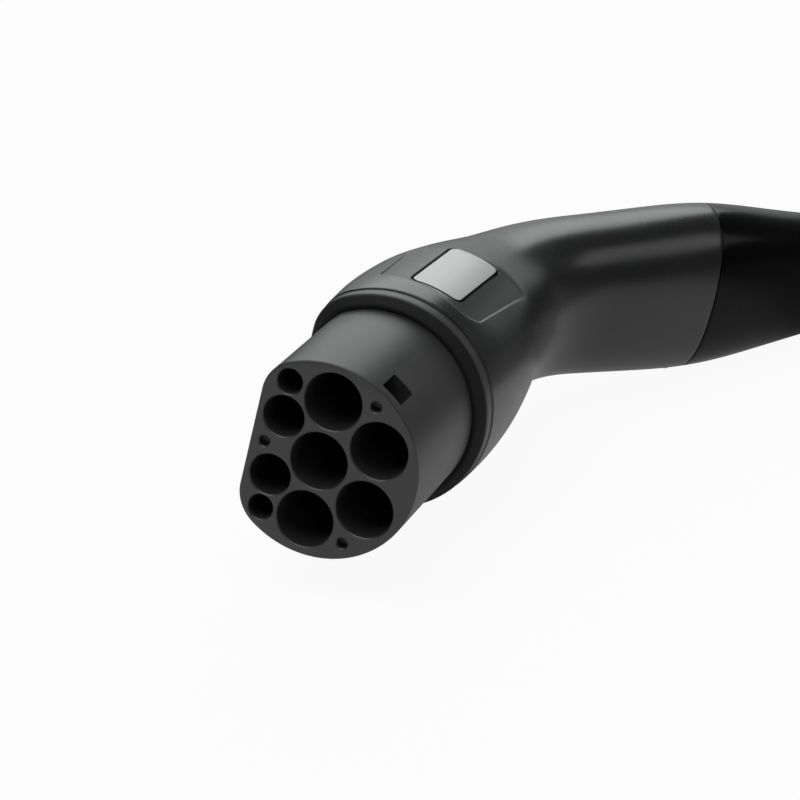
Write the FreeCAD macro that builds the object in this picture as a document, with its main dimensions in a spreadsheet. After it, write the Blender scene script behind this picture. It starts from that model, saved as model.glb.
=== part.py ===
"""Seven-pole charging plug with a D-shaped contact block and a bent pistol grip.

Frame: +X runs backwards from the mating face along the plug axis, +Y points to the flat
of the D, +Z to the nameplate side. The origin is the earth pin's axis on the mating face.
The plug is modelled lying on its side, as it rests on a table.
"""

import FreeCAD, Part
import math
import os
import re
from functools import lru_cache

import Sketcher
from FreeCAD import Placement, Rotation, Vector

doc = FreeCAD.newDocument("charging_plug")

# Driving dimensions in millimetres and degrees, one cell each
SIZES = {
    # contact layout
    "pitch": 17.0,
    "pilot_offset": 11.8,
    "key_hole_offset": 12.3,
    "key_hole_height": 18.27,
    "tie_front_offset": 15.3,
    "tie_side_offset": 11.2,
    "tie_side_height": 19.83,
    # contact block
    "block_radius": 27.0,
    "block_flat": 19.1,
    "block_corner": 11.0,
    "block_length": 60.0,
    "front_chamfer": 0.8,
    "chamber_depth": 42.0,
    "power_chamber": 7.8,
    "pilot_chamber": 5.65,
    "key_hole": 3.45,
    "key_hole_depth": 30.0,
    "face_hole": 1.48,
    "face_hole_depth": 2.4,
    "tie_hole": 1.55,
    "tie_depth": 14.0,
    "lock_centre": 7.45,
    "lock_length": 9.0,
    "lock_width": 7.0,
    "lock_depth": 4.8,
    "lock_turn": 30.8,
    # flange, its gasket and the ring seal behind it
    "flange_radius": 30.5,
    "flange_flat": 23.0,
    "flange_corner": 14.0,
    "flange_front": 46.0,
    "flange_thick": 4.0,
    "flange_chamfer": 0.5,
    "gasket_thick": 2.6,
    "gasket_step": 0.3,
    "gasket_bevel": 1.9,
    "gasket_slack": 0.05,
    "ring_offset": 1.6,
    "ring_groove": 2.4,
    "ring_depth": 1.8,
    "ring_slack": 0.1,
    # contacts
    "power_pin": 3.0,
    "power_body": 4.0,
    "power_collar": 5.5,
    "power_barrel": 4.6,
    "power_crimp": 3.3,
    "pilot_pin": 1.5,
    "pilot_body": 2.4,
    "pilot_collar": 3.5,
    "pilot_barrel": 2.8,
    "pilot_crimp": 1.5,
    "earth_tip": 19.4,
    "power_tip": 21.0,
    "pilot_tip": 25.0,
    "tip_round": 1.2,
    "collar_thick": 4.0,
    "barrel_length": 18.0,
    "pilot_barrel_length": 12.0,
    "crimp_depth": 12.0,
    "pilot_crimp_depth": 8.0,
    "seat_clearance": 0.1,
    "seal_place": 49.0,
    "seal_wire": 0.9,
    # retainer plate and its screws
    "retainer_inset": 2.4,
    "retainer_thick": 4.0,
    "barrel_clearance": 0.3,
    "tie_shank": 1.45,
    "tie_head": 2.75,
    "tie_head_thick": 2.4,
    "tie_length": 16.0,
    # housing path
    "head_length": 51.5,
    "bend_radius": 117.0,
    "bend_turn": 33.2,
    "plug_end": 238.0,
    "seam_place": 170.6,
    "seam_turn": 25.3,
    "wall": 3.0,
    "mouth_wall": 3.4,
    "mouth_depth": 14.0,
    "seam_round": 0.5,
    # recess and nameplate on the head
    "recess_front": 53.6,
    "recess_low": -18.0,
    "recess_round": 7.0,
    "recess_side_front": 61.8,
    "recess_side": 12.8,
    "recess_side_round": 1.5,
    "recess_back": 100.0,
    "recess_back_low": -20.4,
    "recess_back_side": 14.0,
    "plate_centre": 79.1,
    "plate_side": -3.6,
    "plate_length": 36.2,
    "plate_width": 14.2,
    "plate_corner": 2.2,
    "plate_thick": 1.0,
    "plate_turn": -0.4,
    "plate_radius": 29.95,
    "plate_taper": 0.05,
    "plate_gap": 0.45,
    # cap, cable seal, cable clamp and small screws
    "spigot_length": 10.0,
    "spigot_wall": 2.4,
    "spigot_slack": 0.2,
    "cap_seal_place": 2.2,
    "cap_seal_width": 1.8,
    "cap_seal_depth": 1.3,
    "end_radius": 13.2,
    "cavity_end": 220.0,
    "cavity_step": 2.0,
    "cable_radius": 8.0,
    "seal_radius": 10.6,
    "seal_length": 12.0,
    "lip_bore": 9.0,
    "lip_length": 2.0,
    "clamp_place": 138.0,
    "clamp_length": 13.0,
    "clamp_half_width": 14.0,
    "clamp_height": 10.0,
    "clamp_gap": 1.0,
    "clamp_screw_offset": 11.2,
    "clamp_screw": 1.5,
    "clamp_screw_length": 28.0,
    "screw_head": 2.75,
    "screw_head_thick": 1.8,
    "screw_shank": 1.3,
    "screw_slack": 0.1,
    "side_screw_place": 56.6,
    "side_screw_offset": 7.8,
    "side_screw_seat": 27.3,
    "side_screw_length": 7.5,
    "cap_screw_inset": 6.6,
    "cap_screw_offset": 6.0,
    "cap_screw_seat": 23.2,
    "cap_screw_length": 8.0,
    "boss_radius": 3.0,
    # coding resistor
    "resistor_radius": 1.6,
    "resistor_length": 5.0,
    "resistor_place": 84.0,
    "lead_radius": 0.35,
    "lead_bend": 1.5,
    "lead_insert": 5.0,
    # roll about the plug axis, in degrees, when the plug lies on its side
    "rest_roll": 14.0,
}

sheet = doc.addObject("Spreadsheet::Sheet", "sizes")
for row, (alias, number) in enumerate(SIZES.items(), start=1):
    sheet.set("A%d" % row, alias)
    sheet.set("B%d" % row, str(number))
    sheet.setAlias("B%d" % row, alias)
doc.recompute()

X_AXIS = Vector(1, 0, 0)
Y_AXIS = Vector(0, 1, 0)
Z_AXIS = Vector(0, 0, 1)
subparts = []


def size(text):
    """Value of a formula in the sheet's names, such as 'pitch / 2'."""
    return float(sheet.evalExpression(text))


def bind(item, prop, text):
    """Tie a property of an object to a formula in the sheet's names."""
    names = re.compile(r"[a-z_]+")
    item.setExpression(prop, names.sub(
        lambda word: "sizes." + word[0] if word[0] in SIZES else word[0], text))


def keep(item, label):
    """Name a finished piece and put it on the list of pieces to write."""
    item.Label = label
    subparts.append(item)
    return item


# Sketches on planes across the plug axis


def plane_of(body, role):
    """Origin plane of a body, by its role."""
    return [item for item in body.Origin.OriginFeatures if item.Role == role][0]


def cross_sketch(body, name, place):
    """Sketch across the plug axis at the X given by a formula; its x is +Y and its y is +Z."""
    sketch = body.newObject("Sketcher::SketchObject", name)
    sketch.AttachmentSupport = [(plane_of(body, "YZ_Plane"), "")]
    sketch.MapMode = "FlatFace"
    bind(sketch, "AttachmentOffset.Base.z", place)
    return sketch


def add_size(sketch, kind, points, text):
    """Add a constraint whose value is a formula in the sheet's names."""
    index = sketch.addConstraint(Sketcher.Constraint(kind, *points, size(text)))
    bind(sketch, "Constraints[%d]" % index, text)


def add_place(sketch, geometry, across, up):
    """Hold a circle's centre at signed formulas for Y and Z."""
    for kind, text in (("DistanceX", across), ("DistanceY", up)):
        if size(text) < 0:
            add_size(sketch, kind, (geometry, 3, -1, 1), "-1 * (" + text + ")")
        else:
            add_size(sketch, kind, (-1, 1, geometry, 3), text)


def add_circles(sketch, places, radius):
    """Circles of one radius at (Y, Z) formulas."""
    for across, up in places:
        centre = Vector(size(across), size(up), 0)
        circle = sketch.addGeometry(Part.Circle(centre, Z_AXIS, size(radius)))
        add_size(sketch, "Radius", (circle,), radius)
        add_place(sketch, circle, across, up)


def add_d_outline(sketch, radius, flat, corner):
    """Closed D: a circle about the origin with a flat towards +Y and rounded corners."""
    big, side, small = size(radius), size(flat), size(corner)
    corner_y = side - small
    corner_z = math.sqrt((big - small) ** 2 - corner_y ** 2)
    turn = math.atan2(corner_z, corner_y)
    centre = Vector(0, 0, 0)
    upper = Vector(corner_y, corner_z, 0)
    lower = Vector(corner_y, -corner_z, 0)
    arc = sketch.addGeometry(
        Part.ArcOfCircle(Part.Circle(centre, Z_AXIS, big), turn, 2 * math.pi - turn))
    top = sketch.addGeometry(Part.ArcOfCircle(Part.Circle(upper, Z_AXIS, small), 0, turn))
    bottom = sketch.addGeometry(Part.ArcOfCircle(Part.Circle(lower, Z_AXIS, small), -turn, 0))
    line = sketch.addGeometry(
        Part.LineSegment(Vector(side, -corner_z, 0), Vector(side, corner_z, 0)))
    sketch.addConstraint(Sketcher.Constraint("Coincident", arc, 3, -1, 1))
    sketch.addConstraint(Sketcher.Constraint("Tangent", top, 2, arc, 1))
    sketch.addConstraint(Sketcher.Constraint("Tangent", arc, 2, bottom, 1))
    sketch.addConstraint(Sketcher.Constraint("Tangent", bottom, 2, line, 1))
    sketch.addConstraint(Sketcher.Constraint("Tangent", line, 2, top, 1))
    sketch.addConstraint(Sketcher.Constraint("Vertical", line))
    sketch.addConstraint(Sketcher.Constraint("Equal", top, bottom))
    add_size(sketch, "Radius", (arc,), radius)
    add_size(sketch, "Radius", (top,), corner)
    add_size(sketch, "DistanceX", (-1, 1, line, 1), flat)


def pad(body, name, sketch, length):
    """Raise a sketch towards +X."""
    feature = body.newObject("PartDesign::Pad", name)
    feature.Profile = sketch
    bind(feature, "Length", length)
    return feature


def pocket(body, name, sketch, length, backwards):
    """Cut along X: towards +X from the front, or towards -X from the back."""
    feature = body.newObject("PartDesign::Pocket", name)
    feature.Profile = sketch
    feature.Reversed = backwards
    bind(feature, "Length", length)
    return feature


def edges_at(feature, place):
    """Names of the edges that lie whole in the plane X = place."""
    names = []
    for number, edge in enumerate(feature.Shape.Edges, start=1):
        box = edge.BoundBox
        if abs(box.XMin - place) < 1e-3 and abs(box.XMax - place) < 1e-3:
            names.append("Edge%d" % number)
    return names


def dress_edges(body, kind, name, base, names, amount):
    """Chamfer or fillet the named edges of the last feature."""
    feature = body.newObject("PartDesign::" + kind, name)
    feature.Base = (base, names)
    bind(feature, "Radius" if kind == "Fillet" else "Size", amount)
    return feature


POWER_PLACES = [
    ("0", "0"),
    ("0", "pitch"),
    ("0", "-1 * pitch"),
    ("-1 * pitch * cos(30 deg)", "pitch / 2"),
    ("-1 * pitch * cos(30 deg)", "-1 * pitch / 2"),
]
PILOT_PLACES = [("pilot_offset", "pitch / 2"), ("pilot_offset", "-1 * pitch / 2")]
KEY_PLACES = [
    ("key_hole_offset", "key_hole_height"),
    ("key_hole_offset", "-1 * key_hole_height"),
]
TIE_PLACES = [
    ("tie_front_offset", "0"),
    ("-1 * tie_side_offset", "tie_side_height"),
    ("-1 * tie_side_offset", "-1 * tie_side_height"),
]

# Contact block: one moulding with the D, its flange, the chambers and the pin seats


def build_contact_block():
    body = doc.addObject("PartDesign::Body", "contact_block")
    outline = cross_sketch(body, "block_outline", "0")
    add_d_outline(outline, "block_radius", "block_flat", "block_corner")
    block = pad(body, "block_pad", outline, "block_length")
    flange_outline = cross_sketch(body, "flange_outline", "flange_front")
    add_d_outline(flange_outline, "flange_radius", "flange_flat", "flange_corner")
    flange = pad(body, "flange_pad", flange_outline, "flange_thick")
    doc.recompute()
    front = dress_edges(body, "Chamfer", "front_chamfer_edge", flange,
                        edges_at(flange, 0.0), "front_chamfer")
    doc.recompute()
    rim = [name for name in edges_at(front, size("flange_front"))
           if on_outer_rim(front.Shape.getElement(name))]
    dress_edges(body, "Chamfer", "flange_edge", front, rim, "flange_chamfer")

    cuts = [
        ("power_chambers", POWER_PLACES, "power_chamber", "chamber_depth"),
        ("pilot_chambers", PILOT_PLACES, "pilot_chamber", "chamber_depth"),
        ("key_holes", KEY_PLACES, "key_hole", "key_hole_depth"),
        ("face_holes", TIE_PLACES, "face_hole", "face_hole_depth"),
    ]
    for name, places, radius, depth in cuts:
        sketch = cross_sketch(body, name + "_sketch", "0")
        add_circles(sketch, places, radius)
        pocket(body, name, sketch, depth, True)
    seats = [
        ("power_seats", POWER_PLACES, "power_body + seat_clearance",
         "block_length - chamber_depth"),
        ("pilot_seats", PILOT_PLACES, "pilot_body + seat_clearance",
         "block_length - chamber_depth"),
        ("power_collars", POWER_PLACES, "power_collar + seat_clearance", "collar_thick"),
        ("pilot_collars", PILOT_PLACES, "pilot_collar + seat_clearance", "collar_thick"),
        ("tie_holes", TIE_PLACES, "tie_hole", "tie_depth"),
    ]
    for name, places, radius, depth in seats:
        sketch = cross_sketch(body, name + "_sketch", "block_length")
        add_circles(sketch, places, radius)
        pocket(body, name, sketch, depth, False)

    groove = cross_sketch(body, "ring_groove_sketch", "flange_front + flange_thick + ring_offset")
    add_d_outline(groove, "block_radius + 1", "block_flat + 1", "block_corner + 1")
    add_d_outline(groove, "block_radius - ring_depth", "block_flat - ring_depth",
                  "block_corner - ring_depth")
    pocket(body, "ring_groove_cut", groove, "ring_groove", True)

    lock = body.newObject("Sketcher::SketchObject", "lock_sketch")
    lock.AttachmentSupport = [(plane_of(body, "XY_Plane"), "")]
    lock.MapMode = "FlatFace"
    lock.AttachmentOffset = Placement(Vector(0, 0, 0), Rotation(X_AXIS, size("lock_turn")))
    bind(lock, "AttachmentOffset.Base.x", "lock_centre")
    bind(lock, "AttachmentOffset.Base.y", "-1 * block_radius * sin(lock_turn * 1 deg)")
    bind(lock, "AttachmentOffset.Base.z", "block_radius * cos(lock_turn * 1 deg)")
    bind(lock, "AttachmentOffset.Rotation.Angle", "lock_turn")
    add_rectangle(lock, "lock_length", "lock_width")
    recess = body.newObject("PartDesign::Pocket", "lock_recess")
    recess.Profile = lock
    bind(recess, "Length", "lock_depth")

    screws = body.newObject("Sketcher::SketchObject", "side_screw_sketch")
    screws.AttachmentSupport = [(plane_of(body, "XY_Plane"), "")]
    screws.MapMode = "FlatFace"
    bind(screws, "AttachmentOffset.Base.z", "-1 * side_screw_seat")
    for across in ("side_screw_offset", "-1 * side_screw_offset"):
        centre = Vector(size("side_screw_place"), size(across), 0)
        circle = screws.addGeometry(Part.Circle(centre, Z_AXIS, size("screw_shank")))
        add_size(screws, "Radius", (circle,), "screw_shank")
        add_place(screws, circle, "side_screw_place", across)
    holes = pocket(body, "side_screw_holes", screws, "side_screw_length", True)
    doc.recompute()
    body.Tip = holes
    return keep(body, "contact_block")


def on_outer_rim(edge):
    """True for an edge outside the block's own D."""
    middle = edge.valueAt((edge.FirstParameter + edge.LastParameter) / 2)
    reach = math.hypot(middle.y, middle.z)
    return reach > size("block_radius") + 1 or middle.y > size("block_flat") + 1


def add_rectangle(sketch, length, width):
    """Rectangle centred on the sketch's origin."""
    half_x, half_y = size(length) / 2, size(width) / 2
    corners = [Vector(-half_x, -half_y, 0), Vector(half_x, -half_y, 0),
               Vector(half_x, half_y, 0), Vector(-half_x, half_y, 0)]
    lines = [sketch.addGeometry(Part.LineSegment(corners[i], corners[(i + 1) % 4]))
             for i in range(4)]
    for i in range(4):
        sketch.addConstraint(Sketcher.Constraint("Coincident", lines[i], 2, lines[(i + 1) % 4], 1))
    for i, kind in enumerate(("Horizontal", "Vertical", "Horizontal", "Vertical")):
        sketch.addConstraint(Sketcher.Constraint(kind, lines[i]))
    sketch.addConstraint(Sketcher.Constraint("Symmetric", lines[0], 1, lines[1], 2, -1, 1))
    add_size(sketch, "DistanceX", (lines[0], 1, lines[0], 2), length)
    add_size(sketch, "DistanceY", (lines[1], 1, lines[1], 2), width)


def build_d_ring(label, place, thick, outer, inner, kind, dressed, amount):
    """D-shaped ring across the plug axis, its outer edge dressed at one or both faces."""
    body = doc.addObject("PartDesign::Body", label)
    sketch = cross_sketch(body, label + "_outline", place)
    add_d_outline(sketch, *outer)
    add_d_outline(sketch, *inner)
    ring = pad(body, label + "_pad", sketch, thick)
    doc.recompute()
    limit = size(inner[0]) + 0.5 * (size(outer[0]) - size(inner[0]))
    side = size(inner[1]) + 0.5 * (size(outer[1]) - size(inner[1]))
    names = []
    for text in dressed:
        for name in edges_at(ring, size(text)):
            edge = ring.Shape.getElement(name)
            middle = edge.valueAt((edge.FirstParameter + edge.LastParameter) / 2)
            if math.hypot(middle.y, middle.z) > limit or middle.y > side:
                names.append(name)
    dress_edges(body, kind, label + "_edge", ring, names, amount)
    return keep(body, label)


def build_flange_gasket():
    """Rubber gasket round the block, against the front of the flange, with a bevelled lip."""
    return build_d_ring(
        "flange_gasket", "flange_front - gasket_thick", "gasket_thick",
        ("flange_radius - gasket_step", "flange_flat - gasket_step",
         "flange_corner - gasket_step"),
        ("block_radius + gasket_slack", "block_flat + gasket_slack",
         "block_corner + gasket_slack"),
        "Chamfer", ["flange_front - gasket_thick"], "gasket_bevel")


def build_housing_ring():
    """Ring seal in the block's groove, against the inside of the housing's mouth."""
    inset = "ring_depth - ring_slack"
    return build_d_ring(
        "housing_ring_seal", "flange_front + flange_thick + ring_offset + ring_slack",
        "ring_groove - 2 * ring_slack",
        ("block_radius + ring_slack", "block_flat + ring_slack", "block_corner + ring_slack"),
        ("block_radius - (" + inset + ")", "block_flat - (" + inset + ")",
         "block_corner - (" + inset + ")"),
        "Fillet", ["flange_front + flange_thick + ring_offset + ring_slack",
         "flange_front + flange_thick + ring_offset + ring_groove - ring_slack"],
        "ring_slack * 5")


# Turned pieces: contacts, their seals and screws


def turned(name, axis, profile):
    """Solid of revolution about the X axis from (X, radius) points, moved to (Y, Z)."""
    across, up = axis
    points = [Vector(x, r, 0) for x, r in profile]
    face = Part.Face(Part.makePolygon(points + [points[0]]))
    solid = face.revolve(Vector(0, 0, 0), X_AXIS, 360)
    item = doc.addObject("Part::Feature", name)
    item.Shape = solid
    item.Placement = Placement(Vector(0, across, up), Rotation())
    return item


CONTACTS = {
    "pin_earth": ("power", POWER_PLACES[0], "earth_tip"),
    "pin_neutral": ("power", POWER_PLACES[1], "power_tip"),
    "pin_line_3": ("power", POWER_PLACES[2], "power_tip"),
    "pin_line_1": ("power", POWER_PLACES[3], "power_tip"),
    "pin_line_2": ("power", POWER_PLACES[4], "power_tip"),
    "pin_proximity": ("pilot", PILOT_PLACES[0], "pilot_tip"),
    "pin_control": ("pilot", PILOT_PLACES[1], "pilot_tip"),
}


def build_contacts():
    """Machined pins: round nose, seat body, locating collar and a drilled crimp barrel."""
    back = size("block_length")
    for label, (family, place, tip) in CONTACTS.items():
        nose = size(tip)
        pin = size(family + "_pin")
        body = size(family + "_body")
        collar = size(family + "_collar")
        barrel = size(family + "_barrel")
        crimp = size(family + "_crimp")
        short = family == "pilot"
        end = back + size("pilot_barrel_length" if short else "barrel_length")
        depth = size("pilot_crimp_depth" if short else "crimp_depth")
        nose_round = min(size("tip_round"), pin * 0.7)
        profile = [
            (nose, 0), (nose, pin - nose_round),
            (nose + nose_round * 0.3, pin - nose_round * 0.3), (nose + nose_round, pin),
            (size("chamber_depth"), pin), (size("chamber_depth"), body),
            (back - size("collar_thick"), body), (back - size("collar_thick"), collar),
            (back, collar), (back, barrel), (end, barrel), (end, crimp),
            (end - depth, crimp), (end - depth - crimp * 0.5, 0),
        ]
        keep(turned(label, (size(place[0]), size(place[1])), profile), label)


def build_contact_seals():
    """One rubber ring round each pin's body, squeezed in its seat's groove."""
    item = doc.addObject("Part::Feature", "contact_seals")
    rings = []
    for family, place, tip in CONTACTS.values():
        inner = size(family + "_body")
        rings.append(Part.makeCylinder(
            inner + size("seat_clearance"), size("seal_wire"),
            Vector(size("seal_place"), size(place[0]), size(place[1])), X_AXIS).cut(
                Part.makeCylinder(inner, size("seal_wire"),
                                  Vector(size("seal_place"), size(place[0]), size(place[1])),
                                  X_AXIS)))
    item.Shape = Part.makeCompound(rings)
    return keep(item, "contact_seals")


def screw_solid(base, direction, shank, length, head, thick):
    """Pan-head screw: seat under the head at base, shank along direction, cross-slot on top."""
    unit = Vector(direction).normalize()
    slot_depth = thick * 0.45
    slot_width = head * 0.28
    solid = Part.makeCylinder(shank, length - shank, base, unit)
    point = Part.makeCone(shank, shank * 0.35, shank, base + unit * (length - shank), unit)
    cap = Part.makeCylinder(head, thick, base - unit * thick, unit)
    cap = cap.makeFillet(thick * 0.35, [edge for edge in cap.Edges
                                        if edge.CenterOfMass.distanceToPoint(
                                            base - unit * thick) < 1e-6])
    slot = Part.makeBox(head * 1.3, slot_width, slot_depth,
                        Vector(-head * 0.65, -slot_width / 2, 0))
    cross = slot.fuse(slot.rotated(Vector(0, 0, 0), Z_AXIS, 90))
    cross.Placement = Placement(base - unit * thick, Rotation(Z_AXIS, unit))
    return solid.fuse([point, cap]).removeSplitter().cut(cross)


def build_tie_screws():
    """Three screws through the retainer into the back of the block."""
    seat = size("block_length + retainer_thick")
    solids = [screw_solid(Vector(seat, size(across), size(up)), -X_AXIS, size("tie_shank"),
                          size("tie_length"), size("tie_head"), size("tie_head_thick"))
              for across, up in TIE_PLACES]
    item = doc.addObject("Part::Feature", "tie_screws")
    item.Shape = Part.makeCompound(solids)
    return keep(item, "tie_screws")


def build_contact_retainer():
    """D plate behind the block that holds the pins' collars in their seats."""
    body = doc.addObject("PartDesign::Body", "contact_retainer")
    sketch = cross_sketch(body, "retainer_outline", "block_length")
    add_d_outline(sketch, "block_radius - retainer_inset", "block_flat - retainer_inset",
                  "block_corner - retainer_inset")
    plate = pad(body, "retainer_pad", sketch, "retainer_thick")
    cuts = [
        ("power", POWER_PLACES, "power_barrel + barrel_clearance"),
        ("pilot", PILOT_PLACES, "pilot_barrel + barrel_clearance"),
        ("tie", TIE_PLACES, "tie_hole"),
    ]
    for name, places, radius in cuts:
        holes = cross_sketch(body, "retainer_" + name + "_sketch", "block_length")
        add_circles(holes, places, radius)
        plate = pocket(body, "retainer_" + name + "_holes", holes, "retainer_thick", True)
    body.Tip = plate
    return keep(body, "contact_retainer")


# Housing skin: sections along a path that runs straight, bends and runs straight again


class Section:
    """Cross-section of the skin: reach to the flat side, reach away from it, half height."""

    def __init__(self, place, flat_side, round_side, half_height, oval):
        self.place = place
        self.flat_side = flat_side
        self.round_side = round_side
        self.half_height = half_height
        self.oval = oval


HEAD_SECTIONS = [
    Section(0.0, 23.2, 30.8, 30.9, 0.0),
    Section(10.0, 23.6, 31.2, 31.2, 0.0),
    Section(25.0, 23.9, 30.9, 30.3, 0.1),
    Section(40.0, 23.0, 29.4, 29.6, 0.35),
    Section(58.0, 19.9, 26.7, 27.3, 0.7),
]
GRIP_SECTIONS = [
    Section(76.0, 18.4, 23.2, 24.6, 1.0),
    Section(96.0, 19.4, 20.4, 23.7, 1.0),
    Section(118.0, 19.7, 20.1, 24.2, 1.0),
    Section(143.0, 19.1, 20.4, 25.5, 1.0),
    Section(172.0, 18.5, 19.6, 26.0, 1.0),
    Section(202.0, 15.9, 17.0, 22.6, 1.0),
    Section(224.0, 13.6, 14.4, 19.8, 1.0),
]
OVAL_POWER = 2.3
OUTLINE_POINTS = 32
END_ROUNDING = [0.35, 0.65, 0.86, 0.97, 1.0]
END_TAPER = Section(238.0, 12.4, 13.1, 18.0, 1.0)
FRONT_PLACE = size("flange_front + flange_thick")


def path_frame(place):
    """Point on the path and its turn in degrees, at a distance from the housing's mouth."""
    straight = size("head_length")
    radius = size("bend_radius")
    full = math.radians(size("bend_turn"))
    turn = min(max((place - straight) / radius, 0.0), full)
    before = min(place, straight)
    after = max(place - straight - radius * full, 0.0)
    point = Vector(
        FRONT_PLACE + before + radius * math.sin(turn) + after * math.cos(turn),
        -radius * (1 - math.cos(turn)) - after * math.sin(turn), 0)
    return point, math.degrees(turn)


def path_placement(place):
    """Placement whose x is along the path, y across it and z up."""
    point, turn = path_frame(place)
    return Placement(point, Rotation(Z_AXIS, -turn))


def d_reach(angle):
    """Polar reach of the flange's D, as a share of its radius."""
    flat = size("flange_flat / flange_radius")
    corner = size("flange_corner / flange_radius")
    centre_y = flat - corner
    centre_z = math.sqrt((1 - corner) ** 2 - centre_y ** 2)
    angle = abs(angle)
    if angle <= math.atan2(centre_z, flat):
        return flat / math.cos(angle)
    if angle >= math.atan2(centre_z, centre_y):
        return 1.0
    along = centre_y * math.cos(angle) + centre_z * math.sin(angle)
    return along + math.sqrt(along ** 2 - (centre_y ** 2 + centre_z ** 2 - corner ** 2))


def outline_point(section, inset, angle):
    """Point of a section's outline: a blend of the scaled D and an oval."""
    flat_side = section.flat_side - inset
    round_side = section.round_side - inset
    half_height = section.half_height - inset
    cosine, sine = math.cos(angle), math.sin(angle)
    across = flat_side if cosine > 0 else round_side
    d_across = across / size("flange_flat / flange_radius") if cosine > 0 else across
    reach = d_reach(angle)
    oval = (abs(cosine) ** OVAL_POWER + abs(sine) ** OVAL_POWER) ** (-1 / OVAL_POWER)
    share = section.oval
    return Vector(
        0,
        cosine * ((1 - share) * reach * d_across + share * oval * across),
        sine * half_height * ((1 - share) * reach + share * oval))


def section_wire(section, inset):
    """Closed curve through a section's outline, at its place on the path."""
    points = [outline_point(section, inset, math.radians(-180 + 360 * i / OUTLINE_POINTS))
              for i in range(OUTLINE_POINTS)]
    curve = Part.BSplineCurve()
    curve.interpolate(Points=points, PeriodicFlag=True)
    wire = Part.Wire([curve.toShape()])
    wire.Placement = path_placement(section.place)
    return wire


def end_sections():
    """Sections that round the skin over to the ring at the cable inlet."""
    last, taper = GRIP_SECTIONS[-1], END_TAPER
    ring = size("end_radius")

    def drawn_in(start, end, share):
        drop = 1 - math.sqrt(1 - share ** 2)
        return start + (end - start) * share + (ring - end) * drop

    return [Section(
        last.place + (size("plug_end") - last.place) * share,
        drawn_in(last.flat_side, taper.flat_side, share),
        drawn_in(last.round_side, taper.round_side, share),
        drawn_in(last.half_height, taper.half_height, share),
        1.0) for share in END_ROUNDING]


@lru_cache(maxsize=None)
def skin(inset, closed_end):
    """Solid inside the skin, drawn in by an inset."""
    sections = HEAD_SECTIONS + GRIP_SECTIONS
    if closed_end:
        sections = sections + end_sections()
    wires = [section_wire(section, inset) for section in sections]
    return Part.makeLoft(wires, True, False)


def seam_box(start, end):
    """Thick slab parallel to the seam plane, between two distances from it."""
    reach = 400.0
    point, turn = path_frame(size("seam_place"))
    slab = Part.makeBox(end - start, reach, reach, Vector(start, -reach / 2, -reach / 2))
    slab.Placement = Placement(point, Rotation(Z_AXIS, -turn - size("seam_turn")))
    return slab


def across_box(place, length, low, high, bottom, top):
    """Box square to the path, from (across) low to high and from bottom to top."""
    box = Part.makeBox(length, high - low, top - bottom, Vector(0, low, bottom))
    box.Placement = path_placement(place)
    return box


def rounded_prism(length, width, corner, centre, turn, top):
    """Upright prism with rounded corners, from the plug axis up."""
    box = Part.makeBox(length, width, top, Vector(-length / 2, -width / 2, 0))
    box = box.makeFillet(corner, [edge for edge in box.Edges
                                  if abs(edge.tangentAt(edge.FirstParameter).z) > 0.9])
    box.Placement = Placement(centre, Rotation(Z_AXIS, turn))
    return box


def plate_cone(drop):
    """Solid under the nameplate's outer face, drawn in by a drop."""
    length = size("plate_length") * 2
    start = size("plate_centre") - length / 2
    middle = size("plate_radius") - drop
    spread = size("plate_taper") * length / 2
    return Part.makeCone(middle + spread, middle - spread, length,
                         Vector(start, 0, 0), X_AXIS)


def plate_prism(gap):
    """Prism over the nameplate's outline, grown by a gap."""
    return rounded_prism(
        size("plate_length") + 2 * gap, size("plate_width") + 2 * gap,
        size("plate_corner") + gap,
        Vector(size("plate_centre"), size("plate_side"), 0), size("plate_turn"),
        size("flange_radius") * 2)


def recess_cutter():
    """Shallow dish round the nameplate; the head's taper makes it run out to the back."""
    corners = [
        Vector(size("recess_front"), size("recess_low"), 0),
        Vector(size("recess_side_front"), size("recess_side"), 0),
        Vector(size("recess_back"), size("recess_back_side"), 0),
        Vector(size("recess_back"), size("recess_back_low"), 0),
    ]
    face = Part.Face(Part.makePolygon(corners + [corners[0]]))
    prism = face.extrude(Z_AXIS * size("flange_radius * 2"))
    for corner, radius in ((corners[0], "recess_round"), (corners[1], "recess_side_round")):
        upright = [edge for edge in prism.Edges
                   if math.hypot(edge.CenterOfMass.x - corner.x,
                                 edge.CenterOfMass.y - corner.y) < 1e-3]
        prism = prism.makeFillet(size(radius), upright)
    return prism.cut(plate_cone(0.0))


def seam_edges(shape):
    """Outer edges of a shape that lie in the seam plane."""
    point, turn = path_frame(size("seam_place"))
    normal = Rotation(Z_AXIS, -turn - size("seam_turn")).multVec(X_AXIS)
    found = []
    for edge in shape.Edges:
        ends = [edge.valueAt(edge.FirstParameter + share * (
            edge.LastParameter - edge.FirstParameter)) for share in (0.1, 0.5, 0.9)]
        if max(abs((end - point).dot(normal)) for end in ends) < 1e-3:
            found.append(edge)
    return found


def side_screws():
    """Two screws up through the housing's mouth into the block."""
    seat = -size("side_screw_seat")
    return [screw_solid(Vector(size("side_screw_place"), side * size("side_screw_offset"), seat),
                        Z_AXIS, size("screw_shank"), size("side_screw_length"),
                        size("screw_head"), size("screw_head_thick"))
            for side in (1, -1)]


def cap_screw_bases():
    """Seats of the two cap screws, just in front of the seam on the underside."""
    bases = []
    lean = math.tan(math.radians(size("seam_turn")))
    for side in (1, -1):
        across = side * size("cap_screw_offset")
        place = size("seam_place") + across * lean - size("cap_screw_inset")
        local = Vector(0, across, -size("cap_screw_seat"))
        bases.append(path_placement(place).multVec(local))
    return bases


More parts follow.
